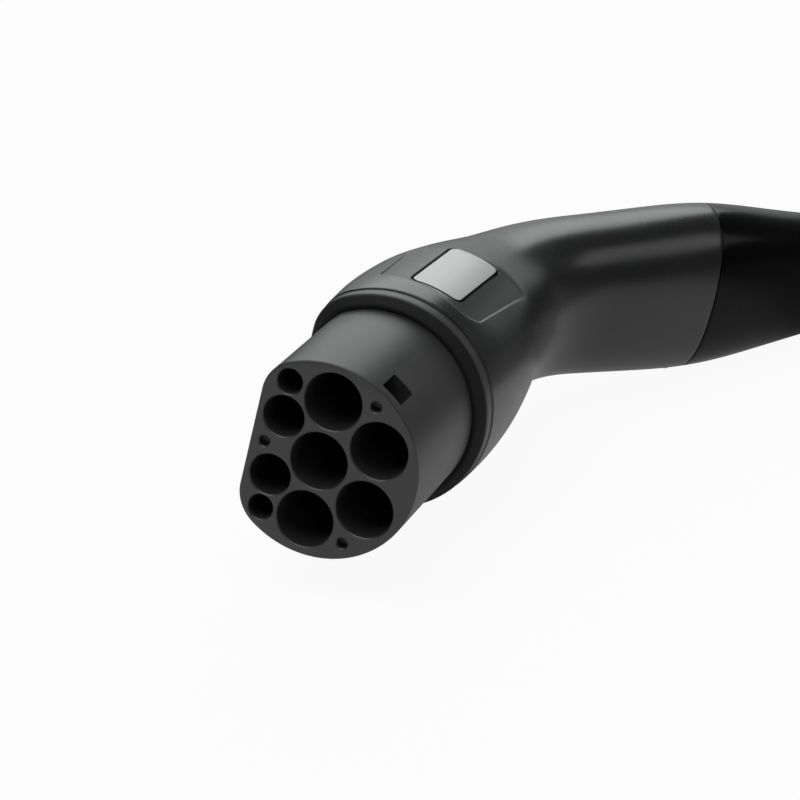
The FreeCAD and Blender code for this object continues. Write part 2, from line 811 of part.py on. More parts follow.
def screw_cutter(base, reach):
    """Counterbore below a seat and a clearance hole above it, along Z."""
    slack = size("screw_slack")
    bore = Part.makeCylinder(size("screw_head") + slack, reach, base, -Z_AXIS)
    hole = Part.makeCylinder(size("screw_shank") + slack, reach, base, Z_AXIS)
    return bore.fuse(hole)


def clamp_bases(height):
    """Clamp screw places on the path's sides, at a height."""
    place = size("clamp_place + clamp_length / 2")
    return [path_placement(place).multVec(Vector(0, side * size("clamp_screw_offset"), height))
            for side in (1, -1)]


def build_housing(outer):
    """Head and grip: one hollow moulding, open at its mouth and at the seam."""
    wall = size("wall")
    reach = size("flange_radius") * 2
    front = seam_box(-reach * 6, 0.0)
    body = outer.common(front)
    body = body.makeFillet(size("seam_round"), seam_edges(body))
    cavity = skin(wall, False)
    mouth = skin(size("mouth_wall"), False)
    mouth_side = Part.makeBox(size("mouth_depth"), reach * 2, reach * 2,
                              Vector(FRONT_PLACE, -reach, -reach))
    cavity = cavity.cut(mouth_side).fuse(mouth.common(mouth_side))
    boss_top = -size("clamp_height + clamp_gap / 2")
    boss = across_box(size("clamp_place"), size("clamp_length"),
                      -size("clamp_half_width"), size("clamp_half_width"), -reach, boss_top)
    body = body.cut(cavity.cut(boss))
    body = body.cut(recess_cutter())
    body = body.cut(plate_prism(size("plate_gap")).cut(plate_cone(size("plate_thick"))))
    for side in (1, -1):
        base = Vector(size("side_screw_place"), side * size("side_screw_offset"),
                      -size("side_screw_seat"))
        body = body.cut(screw_cutter(base, size("side_screw_length")))
    for base in cap_screw_bases():
        body = body.cut(screw_cutter(base, size("cap_screw_length")))
    depth = size("clamp_screw_length") - size("clamp_height * 2 + clamp_gap")
    for base in clamp_bases(boss_top - depth):
        body = body.cut(Part.makeCylinder(size("clamp_screw"), depth, base, Z_AXIS))
    item = doc.addObject("Part::Feature", "housing")
    item.Shape = body
    return keep(item, "housing")


def build_rear_cap(outer):
    """Cap behind the slanted seam, with a spigot into the grip and the cable inlet."""
    wall = size("wall")
    reach = size("flange_radius") * 2
    step = size("cavity_step")
    shell = outer.common(seam_box(0.0, reach * 3))
    shell = shell.makeFillet(size("seam_round"), seam_edges(shell))
    spigot = skin(wall + size("spigot_slack"), False).common(
        seam_box(-size("spigot_length"), step))
    groove_start = -size("cap_seal_place + cap_seal_width")
    core = skin(wall + size("cap_seal_depth"), False)
    groove = seam_box(groove_start, -size("cap_seal_place")).cut(core)
    spigot = spigot.cut(groove)
    shell = shell.fuse(spigot)
    bosses = [Part.makeCylinder(size("boss_radius"), size("cap_screw_length"),
                                base + Z_AXIS * size("spigot_slack + wall / 2"), Z_AXIS)
              for base in cap_screw_bases()]
    narrow = skin(wall + size("spigot_slack + spigot_wall"), False).common(
        seam_box(-size("spigot_length") * 2, step))
    stop = across_box(size("cavity_end"), reach, -reach, reach, -reach, reach)
    wide = skin(wall, False).common(seam_box(step, reach * 3)).cut(stop)
    shell = shell.cut(narrow).cut(wide)
    spigot_zone = skin(wall + size("spigot_slack + spigot_wall / 2"), False)
    for boss in bosses:
        shell = shell.fuse(boss.common(spigot_zone))
    for base in cap_screw_bases():
        shell = shell.cut(Part.makeCylinder(size("screw_shank"), size("cap_screw_length"),
                                            base, Z_AXIS))
    end_frame = path_placement(size("plug_end"))
    along = end_frame.Rotation.multVec(X_AXIS)
    seal_start = end_frame.Base - along * size("seal_length + lip_length")
    shell = shell.cut(Part.makeCylinder(size("seal_radius + gasket_slack"),
                                        size("seal_length"), seal_start, along))
    shell = shell.cut(Part.makeCylinder(size("lip_bore"), reach, end_frame.Base - along * reach / 2,
                                        along))
    item = doc.addObject("Part::Feature", "rear_cap")
    item.Shape = shell.removeSplitter()
    return keep(item, "rear_cap")


def build_cap_seal():
    """Flat rubber ring in the spigot's groove."""
    wall = size("wall")
    start = -size("cap_seal_place + cap_seal_width") + size("gasket_slack")
    slab = seam_box(start, start + size("cap_seal_width - 2 * gasket_slack"))
    ring = skin(wall + size("gasket_slack"), False).common(slab).cut(
        skin(wall + size("cap_seal_depth - gasket_slack"), False))
    item = doc.addObject("Part::Feature", "cap_seal")
    item.Shape = ring
    return keep(item, "cap_seal")


def build_cable_seal():
    """Rubber grommet in the cap's end, with the bore that the cable passes."""
    length = size("seal_length")
    end_frame = path_placement(size("plug_end"))
    along = end_frame.Rotation.multVec(X_AXIS)
    start = end_frame.Base - along * size("seal_length + lip_length")
    ring = Part.makeCylinder(size("seal_radius"), length, start, along)
    item = doc.addObject("Part::Feature", "cable_seal")
    item.Shape = ring.cut(Part.makeCylinder(size("cable_radius"), length, start, along))
    return keep(item, "cable_seal")


def build_cable_clamp():
    """Two saddles with half-round grooves across the cable's path, and their screws."""
    gap = size("clamp_gap") / 2
    height = size("clamp_height")
    half = size("clamp_half_width")
    place, length = size("clamp_place"), size("clamp_length")
    along = path_placement(place + length / 2).Rotation.multVec(X_AXIS)
    bore_base = path_placement(place + length / 2).Base - along * length
    bore = Part.makeCylinder(size("cable_radius"), length * 2, bore_base, along)
    for label, low, high in (("cable_clamp_lower", -gap - height, -gap),
                             ("cable_clamp_upper", gap, gap + height)):
        saddle = across_box(place, length, -half, half, low, high)
        corners = [edge for edge in saddle.Edges
                   if abs(edge.CenterOfMass.z - (high if high > 0 else low)) > height / 4
                   and abs(edge.tangentAt(edge.FirstParameter).z) > 0.9]
        saddle = saddle.makeFillet(size("tip_round"), corners).cut(bore)
        for base in clamp_bases(low):
            saddle = saddle.cut(Part.makeCylinder(size("clamp_screw + screw_slack"), height,
                                                  base, Z_AXIS))
        item = doc.addObject("Part::Feature", label)
        item.Shape = saddle
        keep(item, label)
    screws = [screw_solid(base, -Z_AXIS, size("clamp_screw"), size("clamp_screw_length"),
                          size("screw_head"), size("screw_head_thick"))
              for base in clamp_bases(gap + height)]
    item = doc.addObject("Part::Feature", "clamp_screws")
    item.Shape = Part.makeCompound(screws)
    keep(item, "clamp_screws")


def build_nameplate():
    """Bare curved plate in its pocket on the head."""
    shell = plate_cone(0.0).cut(plate_cone(size("plate_thick")))
    item = doc.addObject("Part::Feature", "nameplate")
    item.Shape = plate_prism(0.0).common(shell)
    return keep(item, "nameplate")


def build_small_screws():
    """Screws that hold the housing to the block and the cap to the grip."""
    item = doc.addObject("Part::Feature", "housing_screws")
    item.Shape = Part.makeCompound(side_screws())
    keep(item, "housing_screws")
    item = doc.addObject("Part::Feature", "cap_screws")
    item.Shape = Part.makeCompound([
        screw_solid(base, Z_AXIS, size("screw_shank"), size("cap_screw_length"),
                    size("screw_head"), size("screw_head_thick"))
        for base in cap_screw_bases()])
    keep(item, "cap_screws")


def build_coding_resistor():
    """Resistor with two bent leads, from the earth barrel to the proximity barrel."""
    earth = Vector(0, 0, 0)
    proximity = Vector(0, size(PILOT_PLACES[0][0]), size(PILOT_PLACES[0][1]))
    towards = (proximity - earth).normalize()
    lead = size("lead_radius")
    bend = size("lead_bend")
    level = size("resistor_place")
    ends = [
        (earth + towards * (size("power_crimp") - lead),
         size("block_length + barrel_length - lead_insert"), towards),
        (proximity - towards * (size("pilot_crimp") - lead),
         size("block_length + pilot_barrel_length - lead_insert"), -towards),
    ]
    middle = (ends[0][0] + ends[1][0]) / 2 + X_AXIS * level
    half = size("resistor_length") / 2
    solids = [Part.makeCylinder(size("resistor_radius"), 2 * half,
                                middle - towards * half, towards)]
    for foot, start, inward in ends:
        bottom = foot + X_AXIS * start
        corner = foot + X_AXIS * level
        arc_start = corner - X_AXIS * bend
        arc_end = corner + inward * bend
        arc_middle = corner - X_AXIS * bend * (1 - math.sqrt(0.5)) \
            + inward * bend * (1 - math.sqrt(0.5))
        stop = middle - inward * half
        path = Part.Wire([
            Part.LineSegment(bottom, arc_start).toShape(),
            Part.Arc(arc_start, arc_middle, arc_end).toShape(),
            Part.LineSegment(arc_end, stop).toShape()])
        ring = Part.Wire([Part.makeCircle(lead, bottom, X_AXIS)])
        solids.append(path.makePipeShell([ring], True, False))
    item = doc.addObject("Part::Feature", "coding_resistor")
    item.Shape = solids[0].fuse(solids[1:])
    return keep(item, "coding_resistor")


build_contact_block()
build_flange_gasket()
build_housing_ring()
build_contacts()
build_contact_seals()
build_contact_retainer()
build_tie_screws()
outer_skin = skin(0.0, True)
build_housing(outer_skin)
build_rear_cap(outer_skin)
build_cap_seal()
build_cable_seal()
build_cable_clamp()
build_nameplate()
build_small_screws()
build_coding_resistor()
doc.recompute()

# Every object is sound before the pieces are rolled to where the plug rests and written
for item in doc.Objects:
    if "Invalid" in item.State or "Error" in item.State:
        raise RuntimeError("failed object: " + item.Label)
os.makedirs("parts", exist_ok=True)
for item in subparts:
    shape = item.Shape.copy()
    if shape.isNull() or not shape.isValid():
        raise RuntimeError("bad shape: " + item.Label)
    shape.rotate(Vector(0, 0, 0), X_AXIS, size("rest_roll"))
    shape.exportStep(os.path.join("parts", item.Label + ".step"))
    print("%-20s solids %d volume %.0f faces %d" % (
        item.Label, len(shape.Solids), shape.Volume, len(shape.Faces)))
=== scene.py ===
"""Looks of a seven-pole charging plug: finishes, fine meshes, studio and camera.

Everything is in metres. The pieces are shaped in the plug's own axes, where +X runs backwards from
the mating face, +Y points to the flat of the D and +Z to the nameplate side. Each is then rolled
about +X to where the plug lies on its side on a pale floor, which is the part's frame.
"""

import logging
import math
from collections.abc import Callable
from dataclasses import dataclass, field
from enum import Enum

import bmesh
import bpy
import numpy as np
from mathutils import Matrix, Vector


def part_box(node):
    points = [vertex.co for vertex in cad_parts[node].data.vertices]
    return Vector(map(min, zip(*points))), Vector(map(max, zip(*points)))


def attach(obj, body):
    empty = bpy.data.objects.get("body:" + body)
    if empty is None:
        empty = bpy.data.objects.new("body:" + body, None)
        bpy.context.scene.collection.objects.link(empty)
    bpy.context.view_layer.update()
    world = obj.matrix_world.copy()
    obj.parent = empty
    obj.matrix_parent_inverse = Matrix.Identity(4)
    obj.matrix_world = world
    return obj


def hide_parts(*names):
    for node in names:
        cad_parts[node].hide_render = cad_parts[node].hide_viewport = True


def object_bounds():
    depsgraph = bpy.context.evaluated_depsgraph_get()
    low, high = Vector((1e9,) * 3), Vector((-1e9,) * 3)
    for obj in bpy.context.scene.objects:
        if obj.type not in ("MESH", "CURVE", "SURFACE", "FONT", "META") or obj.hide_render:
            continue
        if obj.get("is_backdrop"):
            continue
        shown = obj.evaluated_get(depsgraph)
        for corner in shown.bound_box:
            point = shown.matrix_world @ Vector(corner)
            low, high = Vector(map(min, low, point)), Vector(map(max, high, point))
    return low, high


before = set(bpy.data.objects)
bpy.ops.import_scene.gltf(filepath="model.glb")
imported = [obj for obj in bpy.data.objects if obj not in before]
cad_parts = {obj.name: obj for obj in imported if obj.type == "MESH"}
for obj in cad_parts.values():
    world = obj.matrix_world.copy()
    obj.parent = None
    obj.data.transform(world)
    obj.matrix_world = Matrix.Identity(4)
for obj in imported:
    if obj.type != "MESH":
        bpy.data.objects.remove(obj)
CAD_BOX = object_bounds()
LOG = logging.getLogger("charging_plug")
BODY = "root"
SHARP_TURN = math.radians(33)
REST_ROLL = math.radians(14)
MERGE_REACH = 1e-7
NEAR_ZERO = 1e-9
ROUND_STEPS = 4
Colour = tuple[float, float, float]


# Shader groups that several finishes share


class Kind(Enum):
    """Socket types of the shader groups."""

    NUMBER = "NodeSocketFloat"
    COLOUR = "NodeSocketColor"
    PLACE = "NodeSocketVector"


SURFACE_INPUTS = {"Place": Kind.PLACE, "Dark": Kind.COLOUR, "Light": Kind.COLOUR,
                  "Smooth": Kind.NUMBER, "Rough": Kind.NUMBER}
SURFACE_OUTPUTS = {"Colour": Kind.COLOUR, "Roughness": Kind.NUMBER, "Height": Kind.NUMBER}


class ShaderGroup:
    """Node group of a surface, built once and placed in every material that needs it."""

    def __init__(self, name: str, inputs: dict[str, Kind]) -> None:
        """Makes the group with the sockets that every surface has, and its own.

        Args:
            name: The group's name.
            inputs: Names and kinds of its own sockets that go in.
        """
        self.tree = bpy.data.node_groups.new(name, "ShaderNodeTree")
        for way, sockets in (("INPUT", SURFACE_INPUTS | inputs), ("OUTPUT", SURFACE_OUTPUTS)):
            for label, kind in sockets.items():
                self.tree.interface.new_socket(label, in_out=way, socket_type=kind.value)
        self.ins = self.tree.nodes.new("NodeGroupInput").outputs
        self.outs = self.tree.nodes.new("NodeGroupOutput").inputs

    def add(self, kind: str, **values: object) -> bpy.types.Node:
        """Adds a node to the group."""
        return add_node(self.tree, kind, **values)

    def link(self, start: bpy.types.NodeSocket, end: bpy.types.NodeSocket) -> None:
        """Joins two sockets."""
        self.tree.links.new(start, end)

    def noise(self, place: bpy.types.NodeSocket, scale: str, detail: float) -> bpy.types.Node:
        """Adds a noise.

        Args:
            place: Socket that gives the place.
            scale: Name of the group's socket that gives the size.
            detail: Finer layers of the noise.

        Returns:
            The noise node.
        """
        texture = self.add("ShaderNodeTexNoise")
        texture.inputs["Detail"].default_value = detail
        self.link(place, texture.inputs["Vector"])
        self.link(self.ins[scale], texture.inputs["Scale"])
        return texture

    def put_out(self, share: bpy.types.NodeSocket, height: bpy.types.NodeSocket) -> None:
        """Mixes the group's colours and gloss and puts all out.

        Args:
            share: Socket that gives the share of the light and rough side.
            height: Socket that gives the height.
        """
        colour = self.add("ShaderNodeMix", data_type="RGBA")
        gloss = self.add("ShaderNodeMapRange")
        self.link(share, colour.inputs["Factor"])
        self.link(self.ins["Dark"], colour.inputs[6])
        self.link(self.ins["Light"], colour.inputs[7])
        self.link(share, gloss.inputs["Value"])
        self.link(self.ins["Smooth"], gloss.inputs["To Min"])
        self.link(self.ins["Rough"], gloss.inputs["To Max"])
        self.link(colour.outputs[2], self.outs["Colour"])
        self.link(gloss.outputs["Result"], self.outs["Roughness"])
        self.link(height, self.outs["Height"])


def add_node(tree: bpy.types.NodeTree, kind: str, **values: object) -> bpy.types.Node:
    """Adds a node to a tree.

    Args:
        tree: The material's or group's tree.
        kind: Blender's node type.
        values: Properties of the node.

    Returns:
        The new node.
    """
    node = tree.nodes.new(kind)
    for key, value in values.items():
        setattr(node, key, value)
    return node


def moulded_group() -> ShaderGroup:
    """Moulded plastic: cloudy colour, uneven gloss and a fine sparked grain.

    Returns:
        The group, with the cloud and grain sizes as inputs.
    """
    cloud_low, cloud_high = 0.3, 0.7
    cloud_share, grain_share = 0.4, 0.6
    group = ShaderGroup("moulded_surface", {"Cloud": Kind.NUMBER, "Grain": Kind.NUMBER})
    cloud = group.noise(group.ins["Place"], "Cloud", detail=4.0)
    grain = group.noise(group.ins["Place"], "Grain", detail=2.0)
    spread = group.add("ShaderNodeMapRange")
    spread.inputs["From Min"].default_value = cloud_low
    spread.inputs["From Max"].default_value = cloud_high
    group.link(cloud.outputs["Fac"], spread.inputs["Value"])
    shade = group.add("ShaderNodeMath", operation="MULTIPLY")
    shade.inputs[1].default_value = cloud_share
    group.link(spread.outputs["Result"], shade.inputs[0])
    both = group.add("ShaderNodeMath", operation="MULTIPLY_ADD")
    both.inputs[1].default_value = grain_share
    group.link(grain.outputs["Fac"], both.inputs[0])
    group.link(shade.outputs["Value"], both.inputs[2])
    group.put_out(both.outputs["Value"], grain.outputs["Fac"])
    return group


def drawn_group() -> ShaderGroup:
    """Turned or brushed metal: fine lines along one direction, set by the stretched place.

    Returns:
        The group, with the line size and the stretch as inputs.
    """
    group = ShaderGroup("drawn_surface", {"Lines": Kind.NUMBER, "Stretch": Kind.PLACE})
    squeeze = group.add("ShaderNodeVectorMath", operation="MULTIPLY")
    group.link(group.ins["Place"], squeeze.inputs[0])
    group.link(group.ins["Stretch"], squeeze.inputs[1])
    lines = group.noise(squeeze.outputs["Vector"], "Lines", detail=2.0)
    group.put_out(lines.outputs["Fac"], lines.outputs["Fac"])
    return group


MOULDED = moulded_group()
DRAWN = drawn_group()


# Finishes


@dataclass(frozen=True)
class MouldedFinish:
    """Plastic or rubber from a mould. Colours are linear, sizes are per metre."""

    name: str
    dark: Colour
    light: Colour
    smooth: float
    rough: float
    grain: float
    cloud: float = 55.0
    depth: float = 0.000002
    strength: float = 0.5
    specular: float = 0.5

    def material(self) -> bpy.types.Material:
        """Builds the finish, or gives the one already built."""
        return surface_material(self, MOULDED, {"Cloud": self.cloud, "Grain": self.grain}, 0.0)


@dataclass(frozen=True)
class MetalFinish:
    """Turned, drawn or brushed metal with its lines along the unstretched axis."""

    name: str
    dark: Colour
    light: Colour
    smooth: float
    rough: float
    lines: float
    stretch: Colour
    metallic: float = 1.0
    depth: float = 0.0000015
    strength: float = 0.4
    specular: float = 0.5

    def material(self) -> bpy.types.Material:
        """Builds the finish, or gives the one already built."""
        return surface_material(
            self, DRAWN, {"Lines": self.lines, "Stretch": self.stretch}, self.metallic)


Finish = MouldedFinish | MetalFinish


def surface_material(finish: Finish, group: ShaderGroup, values: dict[str, object],
                     metallic: float) -> bpy.types.Material:
    """Principled material whose colour, gloss and grain come from a shared group.

    Args:
        finish: Colours and gloss.
        group: The shared group.
        values: The group's other inputs.
        metallic: Metallic share of the surface.

    Returns:
        The material, built once for each finish.
    """
    title = finish.name + "_look"
    found = bpy.data.materials.get(title)
    if found:
        return found
    material = bpy.data.materials.new(title)
    material.use_nodes = True
    tree = material.node_tree
    shader = tree.nodes["Principled BSDF"]
    shader.inputs["Metallic"].default_value = metallic
    shader.inputs["Specular IOR Level"].default_value = finish.specular
    place = add_node(tree, "ShaderNodeTexCoord")
    look = add_node(tree, "ShaderNodeGroup", node_tree=group.tree)
    tree.links.new(place.outputs["Object"], look.inputs["Place"])
    shared = {"Dark": (*finish.dark, 1.0), "Light": (*finish.light, 1.0),
              "Smooth": finish.smooth, "Rough": finish.rough}
    for label, value in (shared | values).items():
        look.inputs[label].default_value = value
    bump = add_node(tree, "ShaderNodeBump")
    bump.inputs["Strength"].default_value = finish.strength
    bump.inputs["Distance"].default_value = finish.depth
    tree.links.new(look.outputs["Height"], bump.inputs["Height"])
    tree.links.new(look.outputs["Colour"], shader.inputs["Base Color"])
    tree.links.new(look.outputs["Roughness"], shader.inputs["Roughness"])
    tree.links.new(bump.outputs["Normal"], shader.inputs["Normal"])
    return material


BLOCK_PLASTIC = MouldedFinish(
    "block_plastic", (0.021, 0.0215, 0.021), (0.033, 0.034, 0.033), 0.40, 0.50, 5200.0,
    depth=0.000005, specular=0.75)
HOUSING_PLASTIC = MouldedFinish(
    "housing_plastic", (0.0085, 0.0090, 0.0090), (0.0125, 0.0130, 0.0130), 0.24, 0.32, 4200.0,
    depth=0.0000012, strength=0.4)
CAP_PLASTIC = MouldedFinish(
    "cap_plastic", (0.0010, 0.0011, 0.0011), (0.0016, 0.0017, 0.0017), 0.16, 0.24, 3600.0,
    depth=0.0000006, strength=0.4, specular=0.09)
GASKET_RUBBER = MouldedFinish(
    "gasket_rubber", (0.0060, 0.0060, 0.0060), (0.0100, 0.0100, 0.0100), 0.62, 0.80, 2600.0,
    depth=0.000006, specular=0.3)
SEAL_RUBBER = MouldedFinish(
    "seal_rubber", (0.0070, 0.0072, 0.0075), (0.0120, 0.0122, 0.0125), 0.48, 0.66, 2400.0,
    depth=0.000005, specular=0.4)
INNER_PLASTIC = MouldedFinish(
    "inner_plastic", (0.050, 0.050, 0.048), (0.080, 0.080, 0.077), 0.45, 0.60, 3000.0,
    depth=0.000004)
RESISTOR_LACQUER = MouldedFinish(
    "resistor_lacquer", (0.15, 0.26, 0.38), (0.20, 0.33, 0.47), 0.25, 0.35, 1500.0)
PLATE_METAL = MetalFinish(
    "plate_metal", (0.56, 0.56, 0.565), (0.64, 0.64, 0.645), 0.34, 0.46, 900.0,
    (0.04, 1.0, 1.0), metallic=0.12)
CONTACT_METAL = MetalFinish(
    "contact_metal", (0.60, 0.58, 0.53), (0.78, 0.76, 0.70), 0.20, 0.34, 1800.0,
    (1.0, 0.06, 0.06))
SCREW_STEEL = MetalFinish(
    "screw_steel", (0.30, 0.30, 0.31), (0.46, 0.46, 0.47), 0.28, 0.42, 2500.0,
    (1.0, 1.0, 0.1))


# Mesh helpers


def mapped_grid(rows: int, columns: int, point: Callable[[int, int], Vector],
                loop_rows: bool) -> bmesh.types.BMesh:
    """Grid wrapped round into a shell, closed where its edges meet.

    Args:
        rows: Number of rings.
        columns: Points round each ring.
        point: Gives the place of a ring's point.
        loop_rows: Whether the last ring joins the first.

    Returns:
        The bmesh, with its doubled edges merged.
    """
    shell = bmesh.new()
    row_steps = rows if loop_rows else rows - 1
    bmesh.ops.create_grid(shell, x_segments=columns, y_segments=row_steps, size=1.0)
    shell.verts.ensure_lookup_table()
    for vertex in shell.verts:
        column = round((vertex.co.x + 1) / 2 * columns) % columns
        row = round((vertex.co.y + 1) / 2 * row_steps) % rows
        vertex.co = point(row, column)
    bmesh.ops.remove_doubles(shell, verts=shell.verts, dist=MERGE_REACH)
    return shell


def finish_mesh(shell: bmesh.types.BMesh, name: str) -> bpy.types.Object:
    """Turns a bmesh into an object with outward faces and split normals at its sharp edges.

    Args:
        shell: The bmesh, which is freed.
        name: The object's name.

    Returns:
        The new object, linked to the scene.
    """
    bmesh.ops.recalc_face_normals(shell, faces=shell.faces)
    for face in shell.faces:
        face.smooth = True
    for edge in shell.edges:
        edge.smooth = not (edge.is_manifold and edge.calc_face_angle(0.0) > SHARP_TURN)
    mesh = bpy.data.meshes.new(name)
    shell.to_mesh(mesh)
    shell.free()
    made = bpy.data.objects.new(name, mesh)
    bpy.context.scene.collection.objects.link(made)
    return made


def cut_with(shell: bmesh.types.BMesh, cutter: bmesh.types.BMesh) -> bmesh.types.BMesh:
    """Takes one closed mesh out of another.

    Args:
        shell: The mesh that is cut, which is freed.
        cutter: The mesh that is taken out, which is freed.

    Returns:
        A new bmesh of what is left.
    """
    target = finish_mesh(shell, "cut_target")
    tool = finish_mesh(cutter, "cut_tool")
    change = target.modifiers.new("cut", "BOOLEAN")
    change.operation = "DIFFERENCE"
    change.solver = "EXACT"
    change.object = tool
    evaluated = target.evaluated_get(bpy.context.evaluated_depsgraph_get())
    left = bmesh.new()
    left.from_mesh(evaluated.to_mesh())
    evaluated.to_mesh_clear()
    for spent in (target, tool):
        mesh = spent.data
        bpy.data.objects.remove(spent)
        bpy.data.meshes.remove(mesh)
    bmesh.ops.remove_doubles(left, verts=left.verts, dist=MERGE_REACH)
    return left


def turned(profile: list[tuple[float, float]], place: tuple[float, float],
           steps: int) -> bmesh.types.BMesh:
    """Solid of revolution about a line along X.

    Args:
        profile: (X, radius) points whose first and last lie on the line.
        place: The line's Y and Z.
        steps: Points round the turn.

    Returns:
        The closed bmesh.
    """
    solid = bmesh.new()
    line = [solid.verts.new((x, radius, 0.0)) for x, radius in profile]
    edges = [solid.edges.new(pair) for pair in zip(line, line[1:])]
    bmesh.ops.spin(solid, geom=line + edges, cent=(0, 0, 0), axis=(1, 0, 0),
                   angle=math.tau, steps=steps, use_merge=True)
    bmesh.ops.remove_doubles(solid, verts=solid.verts, dist=MERGE_REACH)
    bmesh.ops.translate(solid, verts=solid.verts, vec=(0.0, *place))
    return solid


def joined(solids: list[bmesh.types.BMesh]) -> bmesh.types.BMesh:
    """Puts several meshes into one.

    Args:
        solids: The meshes, which are freed.

    Returns:
        One bmesh that holds them all.
    """
    whole = bmesh.new()
    for solid in solids:
        mesh = bpy.data.meshes.new("part")
        solid.to_mesh(mesh)
        solid.free()
        whole.from_mesh(mesh)
        bpy.data.meshes.remove(mesh)
    return whole


def mount_piece(piece: bpy.types.Object, finish: Finish, node: str) -> None:
    """Rolls a new piece to its rest, dresses it and hides the node that it stands for.

    Args:
        piece: The piece.
        finish: Its finish.
        node: The CAD node that it replaces.
    """
    piece.data.transform(Matrix.Rotation(REST_ROLL, 4, "X"))
    piece.data.materials.append(finish.material())
    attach(piece, BODY)
    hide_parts(node)
    LOG.info("%s: %d faces, stands for %s", piece.name, len(piece.data.polygons), node)


def dress_nodes(finish: Finish, *names: str) -> None:
    """Gives CAD nodes their finish.

    Args:
        finish: The finish.
        names: The nodes.
    """
    for name in names:
        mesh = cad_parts[name].data
        mesh.materials.clear()
        mesh.materials.append(finish.material())
        LOG.info("%s: dressed with %s", name, finish.name)


# Outlines across the plug


@dataclass(frozen=True)
class DShape:
    """D across the plug axis: a circle with a flat towards +Y and rounded corners."""

    radius: float
    flat: float
    corner: float

    def grown(self, amount: float) -> "DShape":
        """The same D, larger all round by an amount."""
        return DShape(self.radius + amount, self.flat + amount, self.corner + amount)

    def reach(self, angle: float) -> float:
        """Distance from the axis to the outline.

        Args:
            angle: Angle from +Y towards +Z.

        Returns:
            The reach in metres.
        """
        turn = abs(math.remainder(angle, math.tau))
        centre_y = self.flat - self.corner
        centre_z = math.sqrt((self.radius - self.corner) ** 2 - centre_y ** 2)
        if turn <= math.atan2(centre_z, self.flat):
            return self.flat / math.cos(turn)
        if turn >= math.atan2(centre_z, centre_y):
            return self.radius
        along = centre_y * math.cos(turn) + centre_z * math.sin(turn)
        return along + math.sqrt(along ** 2 - centre_y ** 2 - centre_z ** 2 + self.corner ** 2)

    def point(self, place: float, angle: float) -> Vector:
        """Point of the outline at an X."""
        reach = self.reach(angle)
        return Vector((place, reach * math.cos(angle), reach * math.sin(angle)))


def quarter(steps: int) -> list[tuple[float, float]]:
    """Points of a quarter circle as (sine, 1 - cosine) shares from 0 to 1."""
    turns = [math.pi / 2 * step / steps for step in range(steps + 1)]
    return [(math.sin(turn), 1 - math.cos(turn)) for turn in turns]


# Contact block with its gasket and contacts


